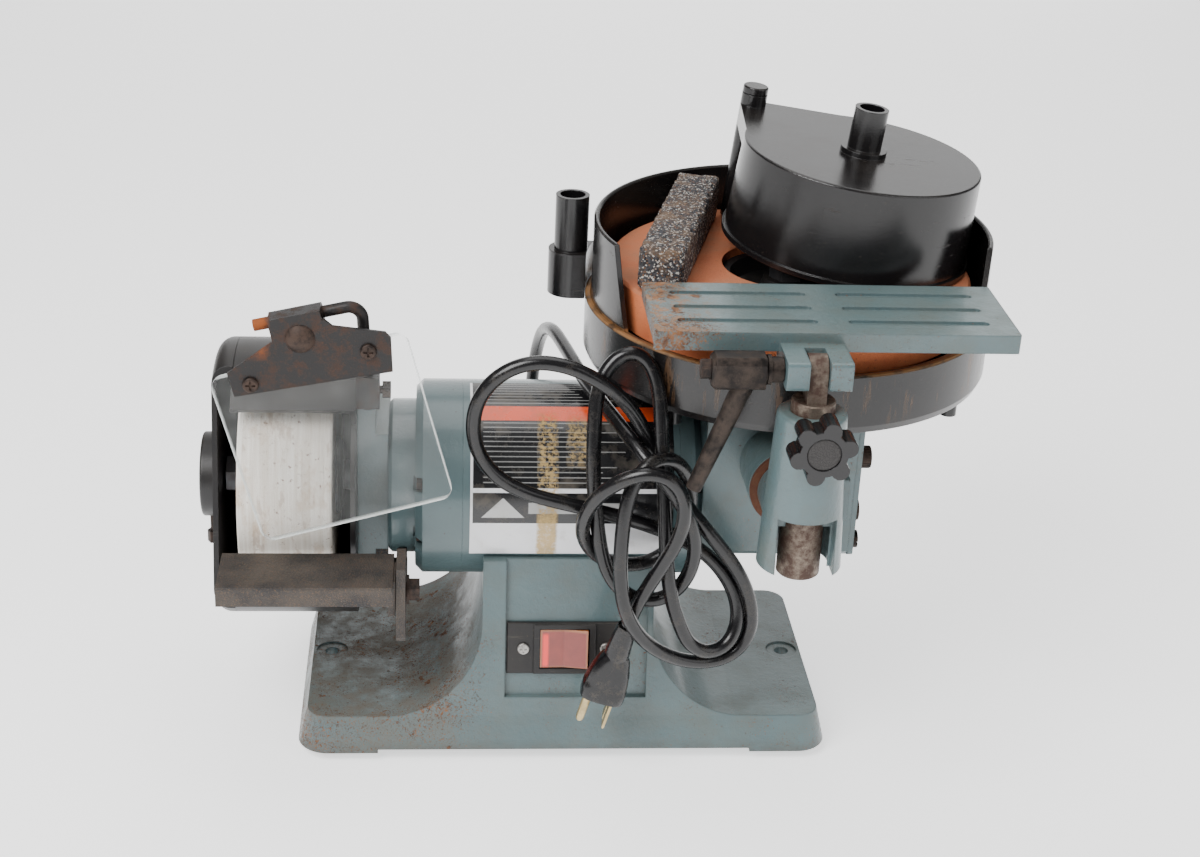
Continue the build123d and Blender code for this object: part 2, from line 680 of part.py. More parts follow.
def make_housing():
    x0, x1, d, low = housing_left, housing_right, housing_half_depth, housing_bottom
    w = housing_wall
    case = box(x0, x1, -d, d, low, tray_bottom)
    case = chamfer(case.edges().filter_by(Axis.X).sort_by(Axis.Z)[0:2], 3)
    case -= box(x0 + w, x1 + 1, -d + w, d - w, low + w, tray_bottom - w)
    case += rod_z(15, low + w - 1, axis_z - worm_clear, wet_x, wet_y)
    case += rod_z(16, tray_bottom - w - 6, tray_bottom, wet_x, wet_y)
    case += rod_y(boss_r, boss_front, -d + 2, post_x, boss_z)
    for y, z in cover_bolt_places:
        boss = rod_x(6.5, x1 - 14, x1, y, z)
        if d - abs(y) < z - low:
            wall_y = d if y > 0 else -d
            boss += box(x1 - 14, x1, min(y, wall_y), max(y, wall_y), z - 5, z + 5)
        else:
            boss += box(x1 - 14, x1, y - 5, y + 5, low, z)
        case += boss & box(x0, x1, -d, d, low, tray_bottom)
        case -= rod_x(3.0, x1 - 12, x1 + 1, y, z)
    case -= rod_y(3.2, boss_front - 1, boss_front + 24, post_x, boss_z)
    case -= rod_x(shaft_r + 2, x0 - 1, x0 + w + 1)
    case -= rod_z(bush_r, low + w, tray_bottom + 1, wet_x, wet_y)
    for x, y in tray_screw_places:
        case -= rod_z(2.1, tray_bottom - 5, tray_bottom + 1, x, y)
    save("gear_housing", case)

    cover = box(x1, x1 + cover_thickness, -d, d, low, tray_bottom)
    cover = fillet(cover.edges().filter_by(Axis.X), 3)
    for y, z in cover_bolt_places:
        cover -= rod_x(3.1, x1 - 1, x1 + 9, y, z)
    save("side_cover", cover)

    out = x1 + cover_thickness
    screws = []
    for y, z in cover_bolt_places[:2]:
        screw = rod_x(2.9, x1 - 11, out + 1, y, z) + rod_x(6.2, out, out + 8, y, z)
        screw = screw - hex_x(3.2, out + 4, out + 9, y, z)
        screws.append(screw)
    for y, z in cover_bolt_places[2:]:
        screw = rod_x(2.9, x1 - 11, out + 1, y, z) + rod_x(5.0, out, out + 3.2, y, z)
        screw -= Pos(out + 3.2, y, z) * Box(2.2, 12, 1.2)
        screws.append(screw)
    floor = tray_bottom + tray_wall
    for x, y in tray_screw_places:
        screw = rod_z(2.05, tray_bottom - 4.5, floor + 1, x, y) + rod_z(4, floor, floor + 2.5, x, y)
        screw -= Pos(x, y, floor + 2.5) * Box(9, 1.2, 2)
        screws.append(screw)
    save("housing_screws", *screws)


cover_bolt_places = [(-38.0, 175.0), (-22.0, 134.0), (-47.0, 128.0), (40.0, 180.0), (40.0, 130.0)]
tray_screw_places = [(wet_x + 30 * cos(radians(a)), wet_y + 30 * sin(radians(a))) for a in (90, 200, 340)]
worm_clear = 8.0


def make_drive():
    worm_r = worm_pitch_r
    root_r = worm_pitch_r - 0.75 * tooth_height
    count = int((worm_right - worm_left) / 2 / tooth_pitch) - 1
    outline = [(wet_x - (count + 1) * tooth_pitch, worm_shaft_r + tiny)]
    outline.append((outline[0][0], root_r))
    for i in range(-count, count + 1):
        x = wet_x + (i + 0.5) * tooth_pitch
        outline += [(x - 0.36 * tooth_pitch, root_r), (x - 0.1 * tooth_pitch, worm_r),
                    (x + 0.1 * tooth_pitch, worm_r), (x + 0.36 * tooth_pitch, root_r)]
    last = wet_x + (count + 1.5) * tooth_pitch
    outline += [(last, root_r), (last, worm_shaft_r + tiny)]
    save("worm", turned_x(outline))

    tip_r = worm_wheel_pitch_r - tip_gap
    dip_r = worm_wheel_pitch_r - 0.75 * tooth_height
    step = 360 / worm_teeth
    rim = []
    for i in range(worm_teeth):
        middle = -90 + i * step
        for share, r in ((-0.33, dip_r), (-0.08, tip_r), (0.08, tip_r), (0.33, dip_r)):
            a = radians(middle + share * step)
            rim.append((r * cos(a), r * sin(a)))
    gear = extrude(make_face(Polyline(*rim, close=True)), amount=9)
    gear = Pos(wet_x, wet_y, axis_z - 4.5) * gear
    gear -= rod_z(wet_shaft_r + tiny, 0, 300, wet_x, wet_y)
    save("worm_wheel", gear)

    shaft = rod_z(wet_shaft_r, housing_bottom + housing_wall + 0.5, wet_wheel_top + 7, wet_x, wet_y)
    save("wet_shaft", chamfer(shaft.faces().sort_by(Axis.Z)[-1].edges(), 1))

    low = housing_bottom + housing_wall
    hole = rod_z(wet_shaft_r + running, 0, 300, wet_x, wet_y)
    lower = rod_z(bush_r - tiny, low, axis_z - worm_clear, wet_x, wet_y) - hole
    upper = rod_z(bush_r - tiny, tray_bottom - 11, tray_bottom + 3, wet_x, wet_y) - hole
    save("shaft_bushes", lower, upper)


def make_wet_wheel():
    low = wet_wheel_top - wet_wheel_thickness
    bore = wet_wheel_bore
    wheel = turned_z([(bore, low), (wet_wheel_r - 1, low), (wet_wheel_r, low + 1),
                      (wet_wheel_r, wet_wheel_top - 1.5), (wet_wheel_r - 1.5, wet_wheel_top),
                      (bore, wet_wheel_top)], wet_x, wet_y)
    save("wet_wheel", wheel)
    seat = wet_shaft_r + tiny
    hub = turned_z([(seat, hub_bottom), (14, hub_bottom), (14, flange_low), (54, flange_low),
                    (54, low), (bore - 0.1, low), (bore - 0.1, wet_wheel_top - 5),
                    (bore - 5, wet_wheel_top - 5), (bore - 9, wet_wheel_top - 13),
                    (16, wet_wheel_top - 13), (14, wet_wheel_top - 7), (seat, wet_wheel_top - 7)],
                   wet_x, wet_y)
    save("wheel_hub", hub)
    nut = Pos(wet_x, wet_y, wet_wheel_top - 7) * hex_prism(11, 8)
    save("wet_wheel_nut", nut - rod_z(seat, 0, 300, wet_x, wet_y))


def ring_opening(z, left, right):
    """The gap in the splash ring at one height, from one angle to the other round the wet wheel."""
    far = 2 * tray_r
    rim = [(wet_x + far * cos(radians(a)), wet_y + far * sin(radians(a))) for a in (left, 270, right)]
    return make_face(Polyline(*[(x, y, z) for x, y in [(wet_x, wet_y)] + rim], close=True))


def make_tray():
    r = tray_r
    inner = r - tray_wall
    floor = tray_bottom + tray_wall
    tray = turned_z([(bush_r + 1.5, tray_bottom), (r - 6, tray_bottom), (r - 1.8, tray_bottom + 1.8),
                     (r, tray_bottom + 6), (r, tray_rim - 1), (r - 1, tray_rim), (inner, tray_rim),
                     (inner, ring_step), (inner - ring_wall, ring_step), (inner - ring_wall, floor),
                     (19, floor), (19, hub_bottom + 8), (16.5, hub_bottom + 8), (16.5, floor),
                     (bush_r + 1.5, floor)], wet_x, wet_y)
    for a in (228, 322):
        x = wet_x + (r - 9) * cos(radians(a))
        y = wet_y + (r - 9) * sin(radians(a))
        tray += rod_z(4.5, tray_bottom - 7, tray_bottom + 1, x, y)
    for x, y in tray_screw_places:
        tray -= rod_z(2.4, tray_bottom - 1, floor + 1, x, y)
    save("water_tray", tray)

    outer = inner - ring_fit
    ring = turned_z([(outer - ring_wall, ring_step), (outer, ring_step), (outer, ring_top - 1),
                     (outer - 1, ring_top), (outer - ring_wall + 1, ring_top),
                     (outer - ring_wall, ring_top - 1)], wet_x, wet_y)
    gap = loft([ring_opening(tray_rim - 1, 209, 333), ring_opening(ring_top + 1, 201.3, 340.8)],
               ruled=True)
    save("splash_ring", ring - gap)

    reach_x = wet_x - sqrt((r + 0.3) ** 2 - (socket_y - wet_y) ** 2)
    boss_half = 12.8
    boss = rod_z(boss_half, 240, 266, socket_x, socket_y)
    boss += box(socket_x, reach_x + 9, socket_y - boss_half, socket_y + boss_half, 240, 266)
    boss -= rod_z(r + 0.3, 200, 300, wet_x, wet_y)
    boss += rod_z(socket_r, 240, socket_top, socket_x, socket_y)
    boss -= rod_z(socket_bore_r, 244, socket_top + 1, socket_x, socket_y)
    save("pot_socket", boss)


# ---- wet tool rest ---------------------------------------------------------------------------
stud_z = 236.5
lever_x0 = 60.0
lever_x1 = 87.0
clevis_half = 16.5
blade_half = 4.8
slot_half = 5.2
bolt_r = 3.9


def make_rest_holder():
    height = holder_top - holder_bottom
    tube = Pos(post_x, post_y, holder_bottom) * Cone(
        22.0, 17.8, height, align=(Align.CENTER, Align.CENTER, Align.MIN))
    tube = fillet(tube.faces().sort_by(Axis.Z)[-1].edges(), 2.5)
    foot = rod_y(17.5, post_y, boss_front - 2.2, post_x, boss_z)
    tube += foot
    tube += box(post_x + 17, post_x + 22.5, post_y - 3, post_y + 3, boss_z + 3, boss_z + 26)
    tube -= rod_z(post_r + running, holder_bottom - 9, holder_top + 1, post_x, post_y)
    tube -= rod_z(15.0, holder_bottom - 9, holder_window_top - 8, post_x, post_y)
    tube -= box(post_x - 15.0, post_x + 15.0, post_y - 40, post_y - 6, holder_bottom - 9,
                holder_window_top)
    tube -= rod_y(4.05, post_y - 30, post_y, post_x, stud_z)
    save("rest_holder", tube)

    washer = rod_y(boss_r - 0.5, boss_front - 2.2, boss_front, post_x, boss_z)
    save("holder_washer", washer)

    front = post_y - 38
    rear = post_y - 24
    lobes = 6
    knob = rod_y(12.0, front, rear, post_x, stud_z)
    for i in range(lobes):
        a = radians(60 * i + 15)
        knob += rod_y(4.6, front, rear, post_x + 12.4 * cos(a), stud_z + 12.4 * sin(a))
    for i in range(lobes):
        a = radians(60 * i + 45)
        knob -= rod_y(4.4, front - 1, rear + 1, post_x + 17 * cos(a), stud_z + 17 * sin(a))
    knob += rod_y(8, rear - 1, rear + 2.5, post_x, stud_z)
    knob -= rod_y(8.6, front - 1, front + 0.9, post_x, stud_z)
    knob += rod_y(4.05 - running, rear, post_y - post_r - 0.3, post_x, stud_z)
    save("star_knob", knob)


def make_tool_post():
    post = rod_z(post_r, post_bottom, post_shoulder, post_x, post_y)
    post = chamfer(post.edges().filter_by(GeomType.CIRCLE), 0.8)
    blade = box(post_x - blade_half, post_x + blade_half, post_y - 8.5, post_y + 8.5,
                post_shoulder - 1, pivot_z)
    blade += rod_x(8.5, post_x - blade_half, post_x + blade_half, post_y, pivot_z)
    post = post + blade - rod_x(bolt_r + 0.08, post_x - 20, post_x + 20, post_y, pivot_z)
    save("tool_post", post)

    low = table_top - table_thickness
    table = box(table_left, table_right, table_front, table_rear, low, table_top)
    table += box(table_left, table_right, table_front, table_front + 4, low - 2.5, low + 1)
    table = fillet(table.edges().filter_by(Axis.Z), 1.5)
    for y in groove_rows:
        for x0, x1 in groove_spans:
            groove = box(x0, x1, y - 2.6, y + 2.6, table_top - 1.6, table_top + 1)
            groove = fillet(groove.edges().filter_by(Axis.Z), 2.5)
            table -= groove
    clevis_front = post_y - 12
    clevis = box(post_x - clevis_half, post_x + clevis_half, clevis_front, table_front + 8,
                 pivot_z - 7, low + 2)
    clevis = fillet(clevis.edges().filter_by(Axis.X).sort_by(Axis.Y)[0:2], 2.0)
    clevis += box(post_x - clevis_half, post_x + clevis_half, table_front, table_front + 18,
                  low - 6, low + 1)
    clevis -= box(post_x - slot_half, post_x + slot_half, clevis_front - 1, table_front - 5.5,
                  pivot_z - 9, pivot_z + 9.5)
    clevis -= rod_x(bolt_r + 0.08, post_x - 30, post_x + 30, post_y, pivot_z)
    save("wet_rest", table + clevis)

    collar_end = post_x - clevis_half - loose
    head = side_prism([(post_y - 8, pivot_z - 7), (post_y - 8, pivot_z + 5), (post_y - 5, pivot_z + 8),
                       (post_y + 5, pivot_z + 8), (post_y + 8, pivot_z + 5), (post_y + 8, pivot_z - 7),
                       (post_y + 5, pivot_z - 9), (post_y - 5, pivot_z - 9)], lever_x0, lever_x1)
    head = chamfer(head.faces().sort_by(Axis.X)[0].edges(), 2)
    head += rod_x(6.5, lever_x1 - 1, collar_end, post_y, pivot_z)
    head += rod_x(7.6, lever_x1 + 1, lever_x1 + 3, post_y, pivot_z)
    grip_top = Vector(77.5, post_y, pivot_z - 7)
    grip_end = Vector(55.5, post_y, pivot_z - 66)
    along = (grip_end - grip_top).normalized()
    grip_plane = Plane(origin=grip_top - along * 4, z_dir=along)
    grip = grip_plane * Cone(5.6, 4.0, (grip_end - grip_top).length + 4,
                             align=(Align.CENTER, Align.CENTER, Align.MIN))
    lever = head + grip
    lever -= rod_x(bolt_r + tiny, 40, post_x, post_y, pivot_z)
    save("clamp_lever", lever)

    bolt = rod_x(bolt_r, lever_x0 - 2, post_x + clevis_half - 1, post_y, pivot_z)
    bolt += hex_x(5.4, lever_x0 - 5, lever_x0, post_y, pivot_z)
    save("clamp_bolt", bolt)


groove_rows = (table_front + 55.0, table_front + 35.0, table_front + 16.0)
groove_spans = ((46.0, 118.0), (134.0, 207.0))


# ---- loose pieces: water pot and dressing stone ----------------------------------------------
pot_plane = Plane(origin=(pot_x, pot_y, pot_lip_z), x_dir=(-0.624, 0.781, 0.0937),
                  z_dir=(pot_lean_x, pot_lean_y, 1))


def make_pot():
    low = Align.MIN
    base = (Align.CENTER, Align.CENTER, low)
    pot = Cone(pot_r, pot_top_r, pot_height, align=base)
    pot = fillet(pot.faces().sort_by(Axis.Z)[-1].edges(), 1.2)
    pot += Cylinder(pot_r + pot_bead, 3, align=base)
    valve = Pos(valve_reach, 0, 0)
    web_low = pot_height - 12
    web = make_hull((Circle(pot_top_r - 2).edges() + (valve * Circle(7.5)).edges()))
    pot += Pos(0, 0, web_low) * extrude(web, amount=12)
    pot -= Cone(pot_r - pot_wall, pot_top_r - pot_wall, pot_height - pot_wall, align=base)
    foot = -14.4
    pot += valve * Pos(0, 0, foot) * Cylinder(7.5, pot_height + 7 - foot, align=base)
    pot -= valve * Pos(0, 0, foot - 1) * Cylinder(3.4, 100, align=base)
    pot += Pos(0, 0, pot_height - 1) * Cylinder(13, 4, align=base)
    pot += Pos(0, 0, pot_height - 1) * Cylinder(9.5, 27, align=base)
    pot -= Pos(0, 0, pot_height - 10) * Cylinder(7, 50, align=base)
    save("water_pot", pot_plane * pot)

    stem = valve * Pos(0, 0, 10) * Cylinder(3.4 - running, pot_height + 8 - 10, align=base)
    knob = valve * Pos(0, 0, pot_height + 7.3) * Cylinder(7.4, 4.2, align=base)
    knob = fillet(knob.faces().sort_by(Axis.Z)[-1].edges(), 1.0)
    save("drip_valve", pot_plane * (stem + knob))


def make_stone():
    stone = Box(stone_width, stone_length, stone_height)
    stone = chamfer(stone.edges(), 0.8)
    lift = wet_wheel_top + 0.3 + stone_height / 2
    save("dressing_stone", Pos(stone_x, stone_y, lift) * Rot(0, 0, -stone_turn) * stone)


# ---- mains cord ------------------------------------------------------------------------------
gland_face = 88.0
lead_points = [
    (gland_x, gland_face, gland_z),
    (gland_x, 108.0, gland_z),
    (gland_x - 2, 129.0, 84.0),
    (gland_x - 3, 138.0, 122.0),
    (gland_x - 1, 134.0, 160.0),
    (gland_x + 2, 110.0, 190.0),
    (gland_x + 6, 76.0, 204.5),
    (gland_x + 12, 38.0, 206.5),
    (gland_x + 19, -1.5, 206.0),
    (gland_x + 27, -34.5, 205.5),
    (gland_x + 36.5, -60.5, 202.0),
]


def cord_wire(points):
    radii = []
    for before, here, after in zip(points, points[1:], points[2:]):
        arriving = Vector(*here) - Vector(*before)
        leaving = Vector(*after) - Vector(*here)
        turn = radians(arriving.get_angle(leaving))
        radii.append(0.45 * min(arriving.length, leaving.length) / tan(turn / 2))
    return FilletPolyline(*points, radius=radii)


def make_cord():
    wire = cord_wire(lead_points)
    start = Vector(*lead_points[1]) - Vector(*lead_points[0])
    tube = sweep(Plane(origin=lead_points[0], z_dir=start) * Circle(cord_r), path=wire)
    save("cord_lead", tube)

    gland = rod_y(9.5, gland_seat, gland_seat + 6.5, gland_x, gland_z)
    gland += rod_y(6.0, gland_seat - 13, gland_seat + 1, gland_x, gland_z)
    sleeve = Plane(origin=(gland_x, gland_seat + 5, gland_z), z_dir=(0, 1, 0)) * Cone(
        7.4, 5.2, gland_face - gland_seat - 5, align=(Align.CENTER, Align.CENTER, Align.MIN))
    save("cord_gland", gland + sleeve)

    left_loop = front_prism(oval(-8, 203.5, 53, 46.5), -78, -68)
    left_loop -= front_prism(oval(-8, 203.5, 41, 34.5), -80, -60)
    bight = [(4.5, 190), (4.5, 236), (13, 247), (27.5, 251), (34, 250)]
    tall_loop = front_prism(bight + [(34, 190)], -80, -57.5)
    tall_loop += front_prism([(30, 190), (30, 250.5), (41, 247), (48.5, 236), (48.5, 190)], -80, -68.5)
    middle = front_prism([(-1, 140), (-1, 185), (15, 199), (48, 199), (69, 180), (69, 135), (60, 118),
                          (10, 118)], -109, lead_points[-1][1])
    low_loop = front_prism(oval(61, 112, 44, 46.5), -108, -77)
    top = Vector(29, -94, 96)
    tip = Vector(16.5, -89.5, 47)
    room = box(-10, top.X + 11, -120, -60, 0, top.Z)
    save("cord_hank", left_loop + tall_loop + middle + low_loop - room)

    along = (tip - top).normalized()
    plug_plane = Plane(origin=top, z_dir=along, x_dir=(1, -0.1, -0.2))
    base = (Align.CENTER, Align.CENTER, Align.MIN)
    grip = loft([Circle(5.2), Pos(0, 0, 17) * RectangleRounded(13, 12, 4)])
    body = loft([Pos(0, 0, 17) * RectangleRounded(15, 13, 4),
                 Pos(0, 0, 40) * RectangleRounded(25, 17, 5)])
    block = Pos(0, 0, 40) * extrude(RectangleRounded(25, 17, 5), amount=6)
    pins = Pos(-7, 0, 45) * Cylinder(2.4, 21, align=base)
    pins += Pos(6, 4.2, 54) * Box(1.6, 6.4, 17)
    pins += Pos(6, -4.2, 54) * Box(1.6, 6.4, 17)
    save("mains_plug", plug_plane * (grip + body + block + pins))


def oval(x, z, half_x, half_z):
    """A loop's outline as a sixteen-sided oval."""
    sides = 16
    turns = [2 * pi * i / sides for i in range(sides)]
    return [(x + half_x * cos(a), z + half_z * sin(a)) for a in turns]


# ---- build, then put the row's origin under the middle ---------------------------------------
make_base()
make_switch()
make_motor()
make_dry_wheel()
make_guard()
make_dry_rest()
make_shield()
make_housing()
make_drive()
make_wet_wheel()
make_tray()
make_rest_holder()
make_tool_post()
make_pot()
make_stone()
make_cord()

cord_pieces = ("cord_lead", "cord_hank", "mains_plug")
machine = [solid for name, group in pieces.items() if name not in cord_pieces for solid in group]
extent = Compound(machine).bounding_box()
origin_x = (extent.min.X + extent.max.X) / 2
origin_y = (extent.min.Y + extent.max.Y) / 2
print("origin at x", round(origin_x, 3), "y", round(origin_y, 3))

os.makedirs("parts", exist_ok=True)
for name, group in pieces.items():
    moved = [Pos(-origin_x, -origin_y, 0) * solid for solid in group]
    shape = moved[0] if len(moved) == 1 else Compound(moved)
    export_step(shape, f"parts/{name}.step")
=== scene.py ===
import json
import math

import bmesh
import bpy
from mathutils import Matrix, Vector, noise


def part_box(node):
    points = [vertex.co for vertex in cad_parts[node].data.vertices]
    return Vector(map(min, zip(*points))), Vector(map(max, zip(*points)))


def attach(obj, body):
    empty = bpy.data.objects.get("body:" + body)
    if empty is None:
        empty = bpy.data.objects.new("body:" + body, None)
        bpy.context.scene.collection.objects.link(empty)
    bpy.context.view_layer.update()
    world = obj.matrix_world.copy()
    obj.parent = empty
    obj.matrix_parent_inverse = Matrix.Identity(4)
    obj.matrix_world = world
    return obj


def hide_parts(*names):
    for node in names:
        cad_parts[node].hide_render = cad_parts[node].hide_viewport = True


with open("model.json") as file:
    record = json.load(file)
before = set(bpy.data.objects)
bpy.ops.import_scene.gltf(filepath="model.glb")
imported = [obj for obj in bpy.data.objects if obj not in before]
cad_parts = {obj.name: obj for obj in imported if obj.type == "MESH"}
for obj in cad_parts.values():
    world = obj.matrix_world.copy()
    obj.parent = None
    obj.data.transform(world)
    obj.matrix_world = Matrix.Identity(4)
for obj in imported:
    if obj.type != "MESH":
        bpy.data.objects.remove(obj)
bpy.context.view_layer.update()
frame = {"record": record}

bl_info = {
    "name": "Wet grinding sharpener looks",
    "version": (1, 0, 0),
    "blender": (4, 5, 0),
    "location": "3D View > Sidebar > Sharpener",
    "description": "Finishes, cord, plug, stone, screws, stage and camera for a two-wheel sharpener",
    "category": "Object",
}

# ---- where things are ------------------------------------------------------------------------
MM = 0.001
shell_low, shell_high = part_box("motor_shell")
MIDDLE = (shell_low + shell_high) / 2       # the motor's middle, above the base's middle
AXIS = MIDDLE.z / MM                        # height of the motor axis, in millimetres
BODY_OF = {node: body for body, nodes in frame["record"]["behaviour"]["bodies"].items()
           for node in nodes}


def place(x, y, z):
    """A point in metres, from millimetres about the base's middle with the bench at z = 0."""
    return Vector((MIDDLE.x + x * MM, MIDDLE.y + y * MM, z * MM))


def ink(red, green, blue):
    """A linear colour from the 0-255 values that a paint chart gives."""
    def linear(value):
        share = value / 255
        return share / 12.92 if share <= 0.04045 else ((share + 0.055) / 1.055) ** 2.4
    return (linear(red), linear(green), linear(blue), 1.0)


# ---- node trees ------------------------------------------------------------------------------
class Tree:
    """A node tree that is filled one node at a time."""

    def add(self, kind, settings, inputs, output=0):
        node = self.tree.nodes.new(kind)
        for name, value in settings.items():
            setattr(node, name, value)
        for key, value in inputs.items():
            if isinstance(value, Term):
                self.tree.links.new(value.socket, node.inputs[key])
            else:
                node.inputs[key].default_value = value
        return Term(self, node.outputs[output]) if node.outputs else None


class Term:
    """A socket in a node tree. Arithmetic on it adds Math nodes."""

    def __init__(self, owner, socket):
        self.owner = owner
        self.socket = socket

    def out(self, name):
        """Another output of the same node."""
        return Term(self.owner, self.socket.node.outputs[name])

    def math(self, operation, *values, clamp=False):
        kind = {"operation": operation, "use_clamp": clamp}
        return self.owner.add("ShaderNodeMath", kind, dict(enumerate(values)))

    def __add__(self, other):
        return self.math("ADD", self, other)

    def __sub__(self, other):
        return self.math("SUBTRACT", self, other)

    def __rsub__(self, other):
        return self.math("SUBTRACT", other, self)

    def __mul__(self, other):
        return self.math("MULTIPLY", self, other)

    def __truediv__(self, other):
        return self.math("DIVIDE", self, other)

    __radd__ = __add__
    __rmul__ = __mul__

    def over(self, edge, soft):
        """0 below the edge, 1 above it, with a ramp as wide as soft."""
        return self.math("MULTIPLY_ADD", self, 1 / soft, 0.5 - edge / soft, clamp=True)

    def under(self, edge, soft):
        return self.math("MULTIPLY_ADD", self, -1 / soft, 0.5 + edge / soft, clamp=True)

    def between(self, low, high, soft):
        return self.over(low, soft) * self.under(high, soft)

    def top(self, other):
        return self.math("MAXIMUM", self, other)

    def full(self):
        return self.math("MINIMUM", self, 1.0)


class Surface(Tree):
    """A material whose patterns are laid out in millimetres about the base's middle."""

    def __init__(self, name):
        self.material = bpy.data.materials.new(name)
        self.material.use_nodes = True
        self.tree = self.material.node_tree
        self.tree.nodes.clear()
        place_on = self.add("ShaderNodeTexCoord", {}, {}, "Object")
        moved = self.add("ShaderNodeVectorMath", {"operation": "SUBTRACT"},
                         {0: place_on, 1: (MIDDLE.x, MIDDLE.y, 0)})
        self.mm = self.add("ShaderNodeVectorMath", {"operation": "SCALE"},
                           {0: moved, "Scale": 1 / MM})
        self.x = self.add("ShaderNodeSeparateXYZ", {}, {0: self.mm}, "X")
        self.y, self.z = self.x.out("Y"), self.x.out("Z")
        face = self.add("ShaderNodeNewGeometry", {}, {}, "Normal")
        self.up = self.add("ShaderNodeSeparateXYZ", {}, {0: face}, "Z")

    def noise(self, size, detail=3.0, rough=0.55, stretch=None, shift=0.0):
        """Cloudy noise with features about size millimetres across."""
        where = self.mm
        if stretch:
            where = self.add("ShaderNodeVectorMath", {"operation": "MULTIPLY"},
                             {0: where, 1: stretch})
        if shift:
            where = self.add("ShaderNodeVectorMath", {"operation": "ADD"},
                             {0: where, 1: (shift,) * 3})
        return self.add("ShaderNodeTexNoise", {}, {"Vector": where, "Scale": 1 / size,
                                                   "Detail": detail, "Roughness": rough})

    def cells(self, size, feature="F1", output="Distance"):
        """Grains about size millimetres across."""
        return self.add("ShaderNodeTexVoronoi", {"feature": feature},
                        {"Vector": self.mm, "Scale": 1 / size}, output)

    def mix(self, share, low, high):
        """The colour low where share is 0, and high where it is 1."""
        return self.add("ShaderNodeMix", {"data_type": "RGBA"}, {0: share, 6: low, 7: high}, 2)

    def bump(self, height, depth, edge=0.0):
        """Relief of depth millimetres, over edges that look rounded to edge millimetres."""
        inputs = {"Strength": 1.0, "Distance": depth * MM, "Height": height}
        if edge:
            inputs["Normal"] = self.add("ShaderNodeBevel", {"samples": 4}, {"Radius": edge * MM})
        return self.add("ShaderNodeBump", {}, inputs)

    def finish(self, colour, rough, normal, metallic=0.0, coat=0.0, alpha=1.0, glow=None, **fixed):
        """The material, with fixed values for the shader's other sockets by their names."""
        inputs = {"Base Color": colour, "Roughness": rough, "Normal": normal, "Metallic": metallic,
                  "Coat Weight": coat, "Alpha": alpha}
        if glow is not None:
            inputs["Emission Color"] = glow
        inputs.update({name.replace("_", " "): value for name, value in fixed.items()})
        shader = self.add("ShaderNodeBsdfPrincipled", {}, inputs)
        self.add("ShaderNodeOutputMaterial", {}, {"Surface": shader})
        return self.material


# ---- finishes --------------------------------------------------------------------------------
DUST = ink(150, 132, 108)
RUST = ink(138, 92, 58)
DARK_RUST = ink(78, 50, 34)


def cast_paint(settings):
    """Thick glossy paint over a rough casting, with rust specks, chips and dirt, and painted light on
    the faces that point up.
    """
    s = Surface("cast_paint")
    peel = s.noise(3.2, 4.0, 0.6)
    fine = s.noise(0.9, 2.0)
    cloud = s.noise(55, 4.0)
    left_flange = s.x.under(-52, 34) * s.z.under(75, 50)
    right_flange = s.x.over(60, 40) * s.z.under(60, 40)
    corner = s.x.under(58, 26) * s.z.over(262, 8)
    dense = (left_flange * 0.6 + right_flange * 0.2 + corner) * settings.rust_amount
    cluster = s.noise(30, 4.0, shift=9) * 0.35
    specks = (s.noise(1.9, 5.0, 0.7, shift=31) + dense * 0.12 + cluster).over(0.86, 0.03)
    freckles = (s.noise(0.9, 3.0, 0.6, shift=90) + dense * 0.16 + cluster).over(0.865, 0.04)
    patches = (s.noise(17, 7.0, 0.75, shift=7) + dense * 0.10).over(0.685, 0.03)
    rust = (specks * 0.8 + freckles * 0.65 + patches * 0.9).full()
    chips = s.noise(7, 6.0, 0.75, shift=55).over(0.735, 0.012)
    worn = corner * s.noise(5, 5.0, 0.75, shift=3).over(0.53, 0.05) * s.up.over(0.2, 0.5)
    paint = tuple(settings.paint_colour) + (1.0,)
    dark = tuple(c * 0.74 for c in settings.paint_colour) + (1.0,)
    # pale is a lighter tint of the same paint, used as painted light
    pale = ink(118, 136, 134)
    colour = s.mix(cloud.over(0.5, 0.5), dark, paint)
    # painted light: faces that point up are mixed towards the paler tint
    colour = s.mix(s.up.over(0.75, 0.4) * 0.32, colour, pale)
    grime = s.noise(26, 5.0, 0.65, shift=70).over(0.56, 0.25) * 0.35
    colour = s.mix(grime, colour, ink(92, 88, 74))
    film = left_flange * s.noise(12, 5.0, 0.7, shift=41).over(0.46, 0.25) * s.up.over(0.3, 0.5)
    colour = s.mix(film * 0.42, colour, ink(124, 96, 72))
    foot_line = s.z.under(10, 8) * s.noise(12, 4.0, shift=20).over(0.42, 0.2)
    colour = s.mix(foot_line * 0.5, colour, ink(72, 66, 56))
    colour = s.mix(rust, colour, s.mix(s.noise(4, 3.0).over(0.5, 0.3), RUST, DARK_RUST))
    colour = s.mix(chips * 0.8, colour, ink(84, 70, 58))
    colour = s.mix(worn, colour, ink(146, 112, 84))
    rough = (0.30 + grime * 0.5 + film * 0.35 + rust * 0.5 + worn * 0.4 + fine * 0.06).full()
    height = peel * 0.8 + fine * 0.2 - chips * 0.6 + rust * 0.35
    return s.finish(colour, rough, s.bump(height, 0.42, edge=1.4),
                    coat=(1 - (rust + film).full()) * 0.3, Coat_Roughness=0.16)


